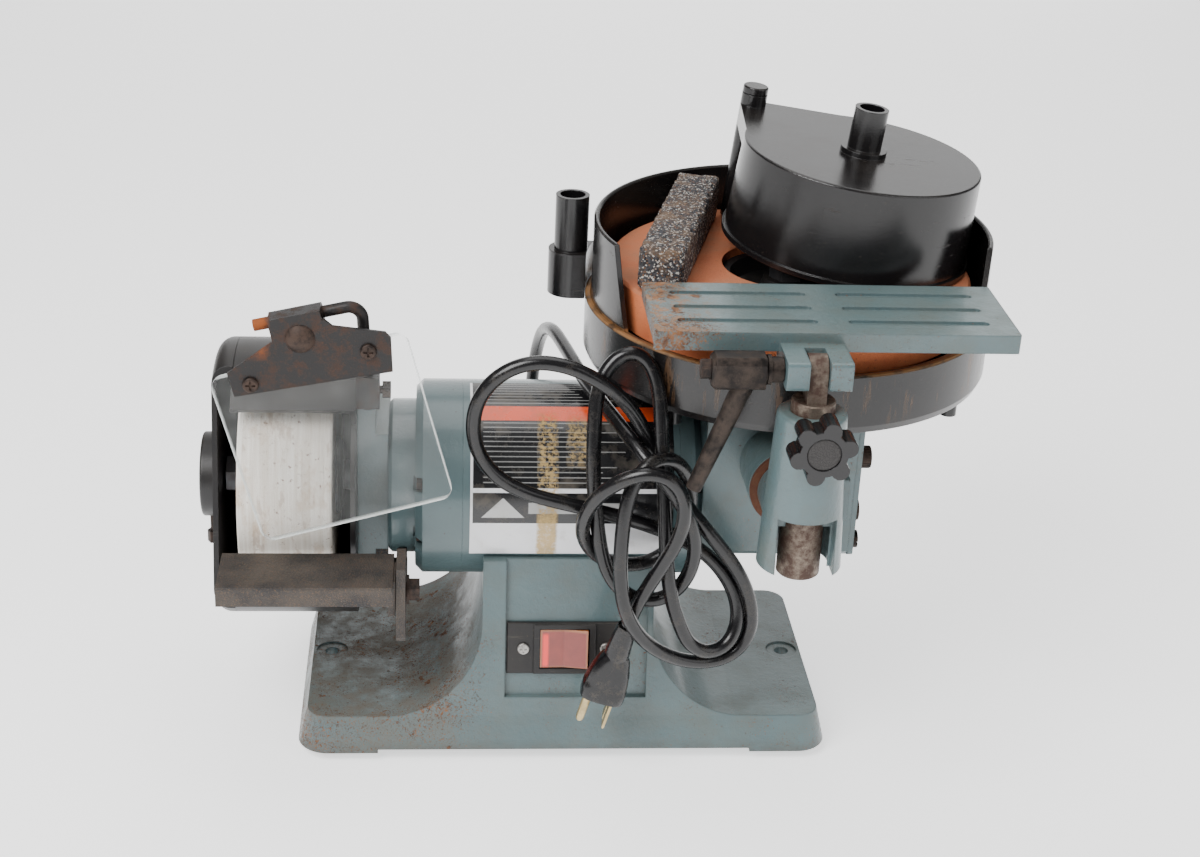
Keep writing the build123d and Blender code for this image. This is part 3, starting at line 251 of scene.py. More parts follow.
def sheet_paint(settings):
    """The same paint on drawn and turned parts: smoother, with light scuffs, and painted light on the
    faces that point up.
    """
    s = Surface("sheet_paint")
    peel = s.noise(2.6, 3.0)
    cloud = s.noise(40, 4.0)
    scuff = s.noise(30, 5.0, 0.7, stretch=(0.15, 1, 1)).over(0.66, 0.06)
    speck = s.noise(2.2, 4.0, 0.7, shift=12).over(0.69, 0.02)
    paint = tuple(settings.paint_colour) + (1.0,)
    dark = tuple(c * 0.8 for c in settings.paint_colour) + (1.0,)
    colour = s.mix(cloud.over(0.5, 0.5), dark, paint)
    # painted light: faces that point up are mixed towards a paler tint of the paint
    colour = s.mix(s.up.over(0.5, 0.8) * 0.25, colour, ink(118, 132, 132))
    colour = s.mix(scuff * 0.3, colour, ink(160, 158, 146))
    colour = s.mix(speck * 0.7, colour, DARK_RUST)
    return s.finish(colour, (0.3 + scuff * 0.25 + speck * 0.3).full(), s.bump(peel, 0.22, edge=0.8),
                    coat=0.35, Coat_Roughness=0.14)


def black_plastic(name, shine, dusty, rim=0.0):
    """Moulded black plastic with dust on what faces up, and a rusty water line at height rim."""
    s = Surface(name)
    flow = s.noise(28, 5.0, 0.6)
    grit = s.noise(1.1, 5.0, 0.75, shift=40)
    scratch = s.noise(16, 6.0, 0.8, stretch=(0.12, 1, 2.5), shift=8).over(0.645, 0.02)
    settled = (s.up.over(0.35, 0.9) * 0.75 + 0.25) * flow.over(0.5, 0.4) * dusty
    crumbs = grit.over(0.66, 0.04) * s.noise(20, 4.0, shift=14).over(0.5, 0.2) * dusty
    colour = s.mix((settled * 0.16).full(), ink(17, 16, 18), ink(104, 94, 82))
    colour = s.mix((crumbs * 0.45).full(), colour, DUST)
    colour = s.mix(scratch * 0.25 * dusty, colour, ink(105, 98, 90))
    rough = shine + settled * 0.14 + crumbs * 0.35 + scratch * 0.2
    if rim:
        line = s.z.between(rim - 0.9, rim + 0.9, 0.8) * s.noise(14, 3.0, shift=5).over(0.42, 0.2)
        runs = s.noise(9, 5.0, 0.7, stretch=(1, 1, 0.16)).over(0.6, 0.08)
        drips = s.z.between(rim - 26, rim, 12) * runs
        stain = (line * 0.9 + drips * 0.25 * dusty).full()
        colour = s.mix(stain, colour, ink(138, 98, 58))
        rough = rough + stain * 0.35
    return s.finish(colour, rough.full(), s.bump(grit * 0.5 + flow * 0.5, 0.10, edge=0.7))


def crackle(name, worn_edges=0.0):
    """Black crackle enamel; worn_edges shows tan metal along the front."""
    s = Surface(name)
    cracks = s.cells(1.5, "DISTANCE_TO_EDGE").under(0.10, 0.12)
    grain = s.noise(0.8, 3.0)
    rubbed = s.noise(4, 6.0, 0.75, shift=17).over(0.63, 0.05)
    colour = s.mix(cracks * 0.6, ink(46, 43, 42), ink(18, 17, 17))
    colour = s.mix(s.noise(22, 4.0, shift=2).over(0.52, 0.2) * 0.35, colour, ink(96, 84, 72))
    rough = 0.5 + grain * 0.2
    if worn_edges:
        chips = s.noise(2.2, 5.0, 0.7, shift=44).over(0.69, 0.03)
        dust = s.noise(0.7, 3.0, 0.7, shift=61).over(0.60, 0.05)
        front = (s.y.under(-104, 7) * rubbed * 0.55 + chips * 0.7 + dust * 0.5) * worn_edges
        front = front.full()
        colour = s.mix(front, colour, ink(120, 92, 68))
        rough = rough + front * 0.2
    return s.finish(colour, rough.full(), s.bump(grain * 0.4 - cracks * 0.6, 0.20, edge=0.6))


def rusty_bracket():
    """Black sheet steel with brown rust coming through."""
    s = Surface("rusty_bracket")
    patches = s.noise(9, 6.0, 0.72).over(0.54, 0.12)
    fine = s.noise(1.2, 4.0, 0.7, shift=6)
    left_end = s.x.under((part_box("shield_rod")[0].x - MIDDLE.x) / MM + 8, 5) * s.z.over(255, 12)
    rust = (patches * 0.6 + left_end + fine.over(0.62, 0.06) * 0.35).full()
    tone = s.mix(left_end, s.mix(fine, ink(44, 32, 26), ink(86, 58, 42)), ink(150, 82, 40))
    colour = s.mix(rust, ink(30, 28, 28), tone)
    return s.finish(colour, (0.42 + rust * 0.4).full(), s.bump(fine + rust * 0.4, 0.14, edge=0.5),
                    metallic=0.35)


def metal(name, colour, rough, stain, stain_colour=DARK_RUST, brushed=(1, 1, 1), share=0.5):
    """Bare or blackened metal with a patina of stain_colour."""
    s = Surface(name)
    lines = s.noise(1.4, 3.0, 0.6, stretch=brushed)
    blotch = s.noise(8, 5.0, 0.7, shift=23).over(share, 0.22) * stain
    pits = s.noise(0.9, 3.0, 0.7, shift=60).over(0.66, 0.05) * stain
    mark = (blotch + pits * 0.6).full()
    tint = s.mix(lines, tuple(c * 0.8 for c in colour[:3]) + (1.0,), colour)
    tint = s.mix(mark, tint, stain_colour)
    relief = s.bump(lines * 0.5 + mark * 0.3, 0.07, 0.4)
    return s.finish(tint, (lines * 0.12 + rough + mark * 0.3).full(), relief,
                    metallic=(1 - mark * 0.85).full())


def white_abrasive():
    """The dry wheel: white grit, worn in bands round its face, with brown specks and smears."""
    s = Surface("white_abrasive")
    bands = s.noise(3.0, 4.0, 0.7, stretch=(1, 0.03, 0.03))
    grit = s.cells(0.55)
    smear = s.noise(15, 5.0, 0.7, stretch=(1, 0.6, 0.6), shift=3).over(0.60, 0.14)
    cluster = s.noise(15, 3.0, shift=77).over(0.50, 0.10)
    speck = s.noise(3.0, 6.0, 0.78, shift=19).over(0.61, 0.025) * cluster
    burn = s.noise(9.0, 5.0, 0.7, stretch=(1, 0.35, 0.35), shift=27).over(0.60, 0.05)
    colour = s.mix(bands.over(0.5, 0.35), ink(214, 204, 190), ink(242, 238, 230))
    colour = s.mix(smear * 0.6, colour, ink(190, 160, 128))
    colour = s.mix((speck * 0.9).full(), colour, ink(116, 70, 40))
    colour = s.mix(burn * 0.4, colour, ink(160, 130, 104))
    return s.finish(colour, 0.92, s.bump(grit * 0.6 + bands * 0.8, 0.28, edge=0.8))


def wet_abrasive():
    """The wet wheel: terracotta stone, stained brown by swarf on top."""
    s = Surface("wet_abrasive")
    grit = s.cells(0.6)
    cloud = s.noise(22, 5.0, 0.65)
    rings = s.noise(5, 3.0, 0.6, shift=12)
    flat = s.up.over(0.6, 0.3)
    colour = s.mix(cloud.over(0.5, 0.4), ink(190, 98, 58), ink(214, 124, 78))
    colour = s.mix(flat * (0.35 + cloud.over(0.55, 0.2) * 0.35), colour, ink(150, 104, 78))
    colour = s.mix(s.noise(2.0, 5.0, 0.75, shift=8).over(0.64, 0.05) * 0.6, colour, ink(94, 58, 42))
    return s.finish(colour, (0.72 + rings * 0.15).full(), s.bump(grit + rings * 0.4, 0.22, edge=0.9))


def stone_grain():
    """The dressing stone: coarse dark grit with white and brown grains."""
    s = Surface("stone_grain")
    grains = s.cells(0.85, "F1", "Color")
    pick = s.add("ShaderNodeSeparateXYZ", {}, {0: grains}, "X")
    fine = s.noise(0.5, 3.0, 0.7)
    brown = s.noise(16, 5.0, 0.7, shift=5).over(0.56, 0.12)
    colour = s.mix(pick, ink(24, 24, 27), ink(74, 74, 78))
    colour = s.mix(pick.over(0.86, 0.05) * 0.85, colour, ink(196, 192, 184))
    colour = s.mix(pick.out("Y").over(0.86, 0.05) * 0.6, colour, ink(126, 88, 58))
    colour = s.mix(brown * 0.55, colour, ink(122, 98, 76))
    return s.finish(colour, 0.93, s.bump(pick * 0.6 + fine * 0.4, 0.32))


SHIELD_X, SHIELD_Z, SHIELD_TURN = -127.9, 205.6, 15.5      # the eye shield's middle and turn
SHIELD_EDGE_X, SHIELD_EDGE_Z = 51.2, 47.7                  # where the painted highlight along its cut edges begins


def clear_sheet():
    """The eye shield: clear plastic with scratches and smudges, a painted highlight along its cut
    edges and a painted reflection at grazing angles.
    """
    s = Surface("clear_sheet")
    turn = math.radians(SHIELD_TURN)
    right, up = s.x - SHIELD_X, s.z - SHIELD_Z
    across = right * math.cos(turn) + up * math.sin(turn)
    along = up * math.cos(turn) - right * math.sin(turn)
    # painted highlight: a paler, more opaque band along the cut edges
    near_side = across.math("ABSOLUTE", across).over(SHIELD_EDGE_X, 0.5)
    near_end = along.math("ABSOLUTE", along).over(SHIELD_EDGE_Z, 0.5)
    edge = near_side.top(near_end)
    smudge = s.noise(24, 5.0, 0.7).over(0.58, 0.18)
    scratch = s.noise(12, 6.0, 0.8, stretch=(1, 1, 0.1), shift=4).over(0.66, 0.012)
    # painted reflection: a Fresnel term makes the pale sheet more opaque at grazing angles
    painted_reflection = s.add("ShaderNodeFresnel", {}, {"IOR": 1.45})
    alpha = (painted_reflection * 0.6 + 0.012 + smudge * 0.03 + scratch * 0.15 + edge * 0.45).full()
    # the paler colour at the edges is part of the painted highlight
    colour = s.mix(edge, ink(226, 228, 226), ink(236, 240, 238))
    return s.finish(colour, (0.05 + smudge * 0.10).full(), s.bump(smudge, 0.02), alpha=alpha)


def label_foil(settings):
    """A foil panel: black fields with pale rules, an orange band, a white field and old glue."""
    s = Surface("label_foil")
    height = s.z - AXIS
    angle = height.math("ARCTAN2", height, s.y * -1) * math.degrees(1)
    row = angle.math("FLOOR", angle * 0.34)
    share = s.add("ShaderNodeTexWhiteNoise", {"noise_dimensions": "1D"}, {"W": row})
    fraction = angle * 0.34 - row
    rules = fraction.between(0.38, 0.60, 0.06) * s.x.over(-49, 0.6)
    rules = rules * (s.x - share * 44).under(-6, 0.6)
    fields = angle.between(19.5, 58.0, 0.4).top(angle.over(70.5, 0.4))
    white = angle.under(-2.0, 0.3).top(angle.between(16.2, 18.8, 0.3)).top(s.x.under(-54.6, 0.3))
    wedge = (s.x + 38).math("ABSOLUTE", s.x + 38) * 0.9 + angle * 0.9
    mark = wedge.under(12.0, 0.5) * angle.between(1.5, 13.0, 0.4)
    bar = angle.between(4.0, 10.5, 0.4) * s.x.between(-24, 30, 0.5)
    colour = s.mix((rules * fields * 0.55).full(), ink(22, 22, 24), ink(178, 178, 176))
    colour = s.mix(((mark + bar * 0.8) * 0.8).full(), colour, ink(206, 206, 204))
    colour = s.mix(angle.between(59.0, 69.5, 0.4), colour, tuple(settings.band_colour) + (1.0,))
    colour = s.mix(white, colour, ink(232, 232, 234))
    tape = s.noise(2.6, 5.0, 0.8, shift=2).over(0.50, 0.10)
    strip = s.x.between(-18.5, -8.5, 2.5) * angle.under(62, 8)
    patch = s.x.between(-2, 9, 4) * angle.between(33, 60, 8) * 0.8
    glue = (strip * (tape + angle.under(5, 6) * 0.8) + patch * tape).full()
    old_glue = s.mix(s.noise(1.0, 3.0), ink(176, 142, 84), ink(214, 186, 128))
    colour = s.mix(glue * 0.9, colour, old_glue)
    dirt = s.noise(20, 5.0, 0.7, shift=33).over(0.58, 0.15)
    colour = s.mix(dirt * 0.3, colour, ink(120, 110, 96))
    return s.finish(colour, (0.24 + glue * 0.5 + dirt * 0.2).full(),
                    s.bump(glue + s.noise(30), 0.18), coat=(1 - glue) * 0.3)


def red_rocker(settings):
    """Translucent red plastic: bright at the lit end with a painted highlight strip that also glows,
    and amber painted light at its edges.
    """
    s = Surface("red_rocker")
    low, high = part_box("rocker")
    across = (s.x - (low.x - MIDDLE.x) / MM) / ((high.x - low.x) / MM)
    up = (s.z - low.z / MM) / ((high.z - low.z) / MM)
    # painted highlight: a narrow bright band, which also gets a painted glow
    strip = across.between(0.06, 0.17, 0.05) * up.between(0.12, 0.86, 0.08)
    # painted light: the rocker's edges are made amber, as light shining through them
    sides = across.under(0.04, 0.04).top(across.over(0.95, 0.05))
    edge = sides.top(up.over(0.93, 0.05)).top(up.under(0.1, 0.08))
    cloud = s.noise(7, 4.0)
    colour = s.mix(cloud, ink(112, 30, 24), ink(156, 58, 46))
    colour = s.mix(edge * 0.75, colour, ink(178, 118, 70))
    colour = s.mix(strip, colour, ink(226, 44, 36))
    # painted glow on the bright strip, not a lit lamp
    glow = s.mix(strip, (0, 0, 0, 1), tuple(settings.painted_glow_colour) + (1.0,))
    return s.finish(colour, (0.18 + cloud * 0.12).full(), s.bump(cloud, 0.08, 0.6), coat=0.6,
                    glow=glow, Emission_Strength=0.5, Subsurface_Weight=0.15, Subsurface_Scale=0.004)


def cord_sheath(name, dusty):
    """Glossy black sheath with dust rubbed into it."""
    s = Surface(name)
    grit = s.noise(1.3, 3.0, 0.7, shift=9).over(0.46, 0.2)
    dust = s.noise(11, 6.0, 0.75).over(0.565, 0.10) * grit * dusty
    colour = s.mix((dust * 0.6).full(), ink(14, 13, 15), ink(96, 86, 74))
    return s.finish(colour, (0.24 + dust * 0.5).full(), s.bump(s.noise(2.2, 3.0) + dust, 0.05, 0.5))


def rubber():
    """The feet: dull black rubber with grey dirt."""
    s = Surface("rubber")
    grain = s.noise(1.6, 4.0, 0.7)
    colour = s.mix(grain.over(0.55, 0.2) * 0.5, ink(26, 25, 25), ink(92, 84, 74))
    return s.finish(colour, 0.8, s.bump(grain, 0.15, 0.5))


def copper_coil():
    """The windings: turns of enamelled wire."""
    s = Surface("copper_coil")
    turns = s.noise(1.1, 2.0, stretch=(4, 0.6, 0.6))
    colour = s.mix(turns, ink(120, 58, 30), ink(196, 112, 62))
    return s.finish(colour, 0.35, s.bump(turns, 0.5), metallic=0.9)


def make_finishes(scene):
    """Every finish by name, with the CAD nodes that it covers."""
    paint, label, switch = scene.sharpener_paint, scene.sharpener_label, scene.sharpener_switch
    steel, black, brown = ink(176, 174, 170), ink(46, 43, 42), ink(72, 52, 40)
    return {
        "cast": (cast_paint(paint), ["base_casting", "gear_housing", "side_cover", "rest_holder",
                                     "wet_rest", "guard_neck"]),
        "sheet": (sheet_paint(paint), ["motor_shell", "end_bell_left", "end_bell_right"]),
        "switch_black": (black_plastic("switch_black", 0.42, 1.3),
                         ["switch_plate", "switch_housing"]),
        "guard": (black_plastic("guard_black", 0.36, 0.8),
                  ["guard_housing", "guard_cover", "hub_cap"]),
        "tray": (black_plastic("tray_black", 0.20, 0.9, rim=247.0), ["water_tray", "splash_ring"]),
        "pot": (black_plastic("pot_black", 0.17, 0.55), ["water_pot", "pot_socket", "drip_valve"]),
        "knob": (black_plastic("knob_black", 0.22, 0.35), ["star_knob"]),
        "hub": (black_plastic("hub_black", 0.5, 0.7), ["wheel_hub"]),
        "rest": (crackle("rest_crackle", worn_edges=1.0), ["dry_rest", "rest_arm"]),
        "bracket": (rusty_bracket(), ["shield_bracket", "shield_clamp", "shield_rod"]),
        "lever": (metal("lever_black", ink(46, 43, 42), 0.36, 0.6, ink(66, 52, 42)),
                  ["clamp_lever"]),
        "bolts": (metal("black_oxide", black, 0.38, 0.7, brown),
                  ["rest_bolt", "shield_screws", "guard_screws", "housing_screws", "clamp_bolt",
                   "tie_bolts"]),
        "screws": (metal("screw_steel", steel, 0.28, 0.8, share=0.56), ["switch_screws"]),
        "post": (metal("post_steel", ink(134, 122, 110), 0.34, 1.0, ink(66, 46, 36),
                       (0.2, 0.2, 1.5), 0.46), ["tool_post"]),
        "face": (metal("rust_face", ink(120, 84, 62), 0.55, 1.0, ink(86, 50, 34), share=0.42),
                 ["holder_washer"]),
        "core": (metal("core_steel", ink(120, 122, 126), 0.4, 0.3, brushed=(8, 1, 1)),
                 ["stator", "rotor", "motor_shaft", "wheel_flanges", "wheel_nut", "wet_shaft",
                  "wet_wheel_nut"]),
        "bearing": (metal("bearing_steel", steel, 0.2, 0.15), ["shaft_bearings", "worm"]),
        "bronze": (metal("bronze", ink(172, 128, 72), 0.3, 0.3, ink(96, 74, 44)),
                   ["shaft_bushes", "worm_wheel"]),
        "can": (metal("can", ink(188, 190, 192), 0.3, 0.1), ["start_capacitor"]),
        "copper": (copper_coil(), ["windings"]),
        "rubber": (rubber(), ["rubber_feet"]),
        "label": (label_foil(label), ["label_plate"]),
        "rocker": (red_rocker(switch), ["rocker"]),
        "white": (white_abrasive(), ["dry_wheel"]),
        "wet": (wet_abrasive(), ["wet_wheel"]),
        "clear": (clear_sheet(), ["shield_lens"]),
        "stone": (stone_grain(), []),
        "cord": (cord_sheath("cord_pvc", 0.22), []),
        "plug": (cord_sheath("plug_pvc", 0.45), []),
        "disc": (crackle("disc_crackle"), []),
        "brass": (metal("prong_nickel", ink(206, 186, 138), 0.24, 0.35, ink(120, 96, 60)), []),
    }


def dress_cad(finishes):
    """Gives every CAD object its finish, in place of the plain material in its slot."""
    for material, nodes in finishes.values():
        for node in nodes:
            found = bpy.data.objects[node]
            found.data.materials.clear()
            found.data.materials.append(material)


# ---- patterns that repeat, grown by Geometry Nodes --------------------------------------------
class Pattern(Tree):
    """A Geometry Nodes group with named inputs."""

    def __init__(self, name, inputs, material):
        self.tree = bpy.data.node_groups.new(name, "GeometryNodeTree")
        self.tree.interface.new_socket("Geometry", in_out="OUTPUT", socket_type="NodeSocketGeometry")
        self.values = {}
        for label, (kind, value) in inputs.items():
            made = self.tree.interface.new_socket(label, in_out="INPUT", socket_type=kind)
            self.values[made.identifier] = value
        self.entry = self.add("NodeGroupInput", {}, {})
        self.material = material

    def given(self, label):
        """A named input, as a term."""
        return self.entry.out(label)

    def grown(self, name, instances):
        """A plain mesh object of the instances, made real and with the material set."""
        real = self.add("GeometryNodeRealizeInstances", {}, {0: instances})
        dressed = self.add("GeometryNodeSetMaterial", {}, {0: real, "Material": self.material})
        self.add("NodeGroupOutput", {}, {0: dressed})
        seed = bpy.data.meshes.new(name + "_seed")
        holder = bpy.data.objects.new(name, seed)
        bpy.context.scene.collection.objects.link(holder)
        modifier = holder.modifiers.new("grow", "NODES")
        modifier.node_group = self.tree
        for identifier, value in self.values.items():
            modifier[identifier] = value
        seen = holder.evaluated_get(bpy.context.evaluated_depsgraph_get())
        mesh = bpy.data.meshes.new_from_object(seen)
        holder.modifiers.clear()
        holder.data = mesh
        bpy.data.meshes.remove(seed)
        if not mesh.polygons:
            raise RuntimeError(f"{name} grew nothing")
        return holder


def ring_of_bars(name, count, radius, bar, material):
    """Bars standing round a circle about Z: a knurl or a row of ribs. Sizes in millimetres."""
    float_socket = "NodeSocketFloat"
    p = Pattern(name, {"Count": ("NodeSocketInt", count), "Radius": (float_socket, radius * MM),
                       "Radial": (float_socket, bar[0] * MM), "Around": (float_socket, bar[1] * MM),
                       "Along": (float_socket, bar[2] * MM)}, material)
    circle = p.add("GeometryNodeMeshCircle", {"fill_type": "NONE"},
                   {"Vertices": p.given("Count"), "Radius": p.given("Radius")})
    size = p.add("ShaderNodeCombineXYZ", {},
                 {0: p.given("Radial"), 1: p.given("Around"), 2: p.given("Along")})
    block = p.add("GeometryNodeMeshCube", {}, {"Size": size})
    place_of = p.add("GeometryNodeInputPosition", {}, {})
    turn = p.add("FunctionNodeAlignRotationToVector", {"axis": "X"}, {"Vector": place_of})
    bars = p.add("GeometryNodeInstanceOnPoints", {},
                 {"Points": circle, "Instance": block, "Rotation": turn})
    return p.grown(name, bars)


def row_of_rings(name, count, pitch, radii, thick, material):
    """Round ribs along Z, from the first radius to the last. Sizes in millimetres."""
    float_socket = "NodeSocketFloat"
    p = Pattern(name, {"Count": ("NodeSocketInt", count), "Pitch": (float_socket, pitch * MM),
                       "First": (float_socket, radii[0] * MM), "Last": (float_socket, radii[1] * MM),
                       "Thick": (float_socket, thick * MM)}, material)
    step = p.add("ShaderNodeCombineXYZ", {}, {2: p.given("Pitch")})
    line = p.add("GeometryNodeMeshLine", {"mode": "OFFSET"},
                 {"Count": p.given("Count"), "Offset": step})
    spine = p.add("GeometryNodeCurvePrimitiveCircle", {}, {"Resolution": 40, "Radius": 1.0}, "Curve")
    section = p.add("GeometryNodeCurvePrimitiveCircle", {}, {"Resolution": 10, "Radius": 1.0},
                    "Curve")
    index = p.add("GeometryNodeInputIndex", {}, {})
    span = (p.given("Last") - p.given("First")) / (p.given("Count") - 1)
    radius = index * span + p.given("First")
    size = p.add("ShaderNodeCombineXYZ", {}, {0: radius, 1: radius, 2: p.given("Thick")})
    flat = p.add("GeometryNodeTransform", {}, {0: section, "Scale": (0.12, 1.0, 1.0)})
    ring = p.add("GeometryNodeCurveToMesh", {}, {"Curve": spine, "Profile Curve": flat})
    rings = p.add("GeometryNodeInstanceOnPoints", {},
                  {"Points": line, "Instance": ring, "Scale": size})
    return p.grown(name, rings)


# ---- modelled pieces -------------------------------------------------------------------------
def frame_at(origin, along, across):
    """A matrix whose Z runs along, X as near across as it can, with millimetres as its unit."""
    z = Vector(along).normalized()
    x = Vector(across)
    x = (x - z * x.dot(z)).normalized()
    turn = Matrix((x, z.cross(x), z)).transposed().to_4x4()
    return Matrix.Translation(place(*origin)) @ turn


def lofted(rings, sides=48):
    """A closed body through rounded-rectangle rings: (height, half x, half y, squareness), in mm."""
    shape = bmesh.new()
    loops = []
    for height, half_x, half_y, square in rings:
        loop = []
        for i in range(sides):
            a = 2 * math.pi * i / sides
            c, s = math.cos(a), math.sin(a)
            loop.append(shape.verts.new((half_x * MM * math.copysign(abs(c) ** (2 / square), c),
                                         half_y * MM * math.copysign(abs(s) ** (2 / square), s),
                                         height * MM)))
        loops.append(loop)
    for low, high in zip(loops, loops[1:]):
        for i in range(sides):
            shape.faces.new((low[i - 1], low[i], high[i], high[i - 1]))
    shape.faces.new(loops[0][::-1])
    shape.faces.new(loops[-1])
    bmesh.ops.recalc_face_normals(shape, faces=shape.faces)
    return shape


def finished(name, shape, material, body, record_slot, smooth=40):
    """An object at the origin, unturned and unscaled, from a bmesh in row metres."""
    mesh = bpy.data.meshes.new(name)
    shape.to_mesh(mesh)
    shape.free()
    mesh.materials.append(material)
    made = bpy.data.objects.new(name, mesh)
    bpy.context.scene.collection.objects.link(made)
    return settled(made, body, record_slot, smooth)


def settled(made, body, record_slot, smooth=40):
    """Smooths an object, and hangs it on its body. record_slot is not used."""
    mesh = made.data
    mesh.shade_smooth()
    mesh.set_sharp_from_angle(angle=math.radians(smooth))
    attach(made, body)
    return made


def moved_into(shape, matrix):
    bmesh.ops.transform(shape, matrix=matrix, verts=shape.verts)
    return shape


def merged(shapes):
    """One bmesh out of several."""
    whole = bmesh.new()
    for shape in shapes:
        part = bpy.data.meshes.new("part")
        shape.to_mesh(part)
        shape.free()
        whole.from_mesh(part)
        bpy.data.meshes.remove(part)
    return whole


CORD_EXIT = (-12, 88, 66)
CORD_POINTS = [
    (-12, 88, 66), (-12, 108, 66), (-14, 129, 84), (-15, 138, 122), (-13, 134, 160), (-10, 110, 190),
    (-6, 76, 204.5), (0, 38, 206.5), (7, -1.5, 206), (15, -34.5, 205.5), (24.5, -60.5, 202),
    # the small loop at the right
    (34, -78.5, 195), (44, -88.5, 186), (53.5, -92.5, 175), (60.5, -92.5, 161.5),
    (64.5, -91, 146.5), (63.5, -89, 131.5), (58, -87, 118.5), (48.5, -86.5, 111), (37, -86.5, 110),
    (26.5, -87, 116), (18.5, -86.5, 126.5), (14, -85.5, 140.5), (11.5, -83.5, 155.5),
    (9.5, -81, 171), (8.5, -77.5, 188), (8.5, -73, 205),
    # the tall narrow loop
    (9, -69, 219), (11.5, -65.5, 232), (18.5, -62.5, 242.5), (27.5, -61.5, 246.5), (36, -62.5, 242.5),
    (41.5, -66, 232), (43.5, -70.5, 218.5), (44.5, -74.5, 204), (45.5, -78.5, 189.5),
    (47, -83.5, 171), (48, -88.5, 152.5), (49.5, -93, 134), (52.5, -95.5, 116), (58, -95, 100),
    # the inner right loop
    (64, -93.5, 87), (74.5, -90.5, 79), (86.5, -86.5, 81.5), (92.5, -82, 93), (91, -78, 108),
    (83, -75.5, 122.5), (71.5, -73.5, 134), (55.5, -72.5, 143), (36, -71.5, 150.5),
    # the big loop at the left
    (15, -71.5, 156.5), (-5, -71.5, 161.5), (-24.5, -72, 167), (-41, -72.5, 176), (-52.5, -73, 190.5),
    (-56.5, -73, 208), (-52.5, -73, 226), (-40.5, -73.5, 239.5), (-24, -73.5, 245.5), (-6, -74, 243),
    (9.5, -74.5, 235.5), (21.5, -73.5, 226), (30, -71.5, 215), (36.5, -70, 203), (43, -70, 190.5),
    # the outer loop at the bottom
    (50, -73.5, 177.5), (59, -77.5, 165), (69.5, -79.5, 152.5), (80.5, -80, 139), (91.5, -80, 123.5),
    (98.5, -80, 107), (100.5, -80.5, 91), (96, -81.5, 78.5), (86, -83.5, 71.5), (72.5, -86, 70.5),
    (58.5, -90, 75), (45, -95, 84.5), (34.5, -100, 97), (27, -103, 112.5), (23.5, -103.5, 130),
    # twice round the middle, then down to the plug
    (23, -102, 149), (24, -99.5, 167.5), (27.5, -96.5, 184), (34.5, -93, 195), (44.5, -88, 197.5),
    (55, -81, 190.5), (62, -73, 175), (64, -67, 156), (60.5, -64, 138.5), (51.5, -63.5, 126.5),
    (39, -65.5, 121), (24.5, -70, 123.5), (11.5, -76.5, 133), (3.5, -84.5, 148.5), (3.5, -92.5, 165.5),
    (10.5, -99, 181), (22, -103.5, 192), (35, -105.5, 197), (46.5, -106, 194), (54, -105, 184),
    (56, -103.5, 170), (53, -102, 155), (47, -100, 141), (39.5, -97.5, 125.5), (33.5, -95.6, 112),
    (29, -94, 96),
]
PLUG_TOP = Vector((29, -94, 96))
PLUG_TIP = Vector((16.5, -89.5, 47))
PLUG_ACROSS = (1, -0.1, -0.2)
RELIEF_SEAT = (-12, 63.4, 66)
# each ring is a height, a half width, a half depth and a squareness (2 is an ellipse)
PLUG_RINGS = [
    (-1.5, 4.6, 4.6, 2), (0, 5.1, 5.1, 2), (8, 5.7, 5.5, 2), (16, 6.6, 6.1, 2.2), (18, 7.6, 6.5, 2.4),
    (20, 8.8, 6.9, 2.6), (28, 11, 8, 3.0), (34, 11.9, 8.4, 3.2), (37, 12.1, 8.5, 3.4),
    (38, 12.5, 8.8, 3.6), (44.6, 12.5, 8.8, 3.6), (45.8, 12.2, 8.5, 3.4), (46.3, 11.4, 7.8, 3.2),
]
PIN_RINGS = [(45, 2.4, 2.4, 2), (63, 2.4, 2.4, 2), (65, 1.9, 1.9, 2), (66, 0.9, 0.9, 2)]
BLADE_RINGS = [(45, 0.8, 3.2, 12), (61.3, 0.8, 3.2, 12), (62.5, 0.35, 2.7, 12)]
RELIEF_RINGS = [
    (-13, 5.9, 5.9, 2), (-0.1, 5.9, 5.9, 2), (0, 9.3, 9.3, 2), (5.2, 9.5, 9.5, 2), (6.0, 8.9, 8.9, 2),
    (6.2, 7.4, 7.4, 2), (16, 6.4, 6.4, 2), (28.5, 5.0, 5.0, 2), (30, 4.5, 4.5, 2),
]


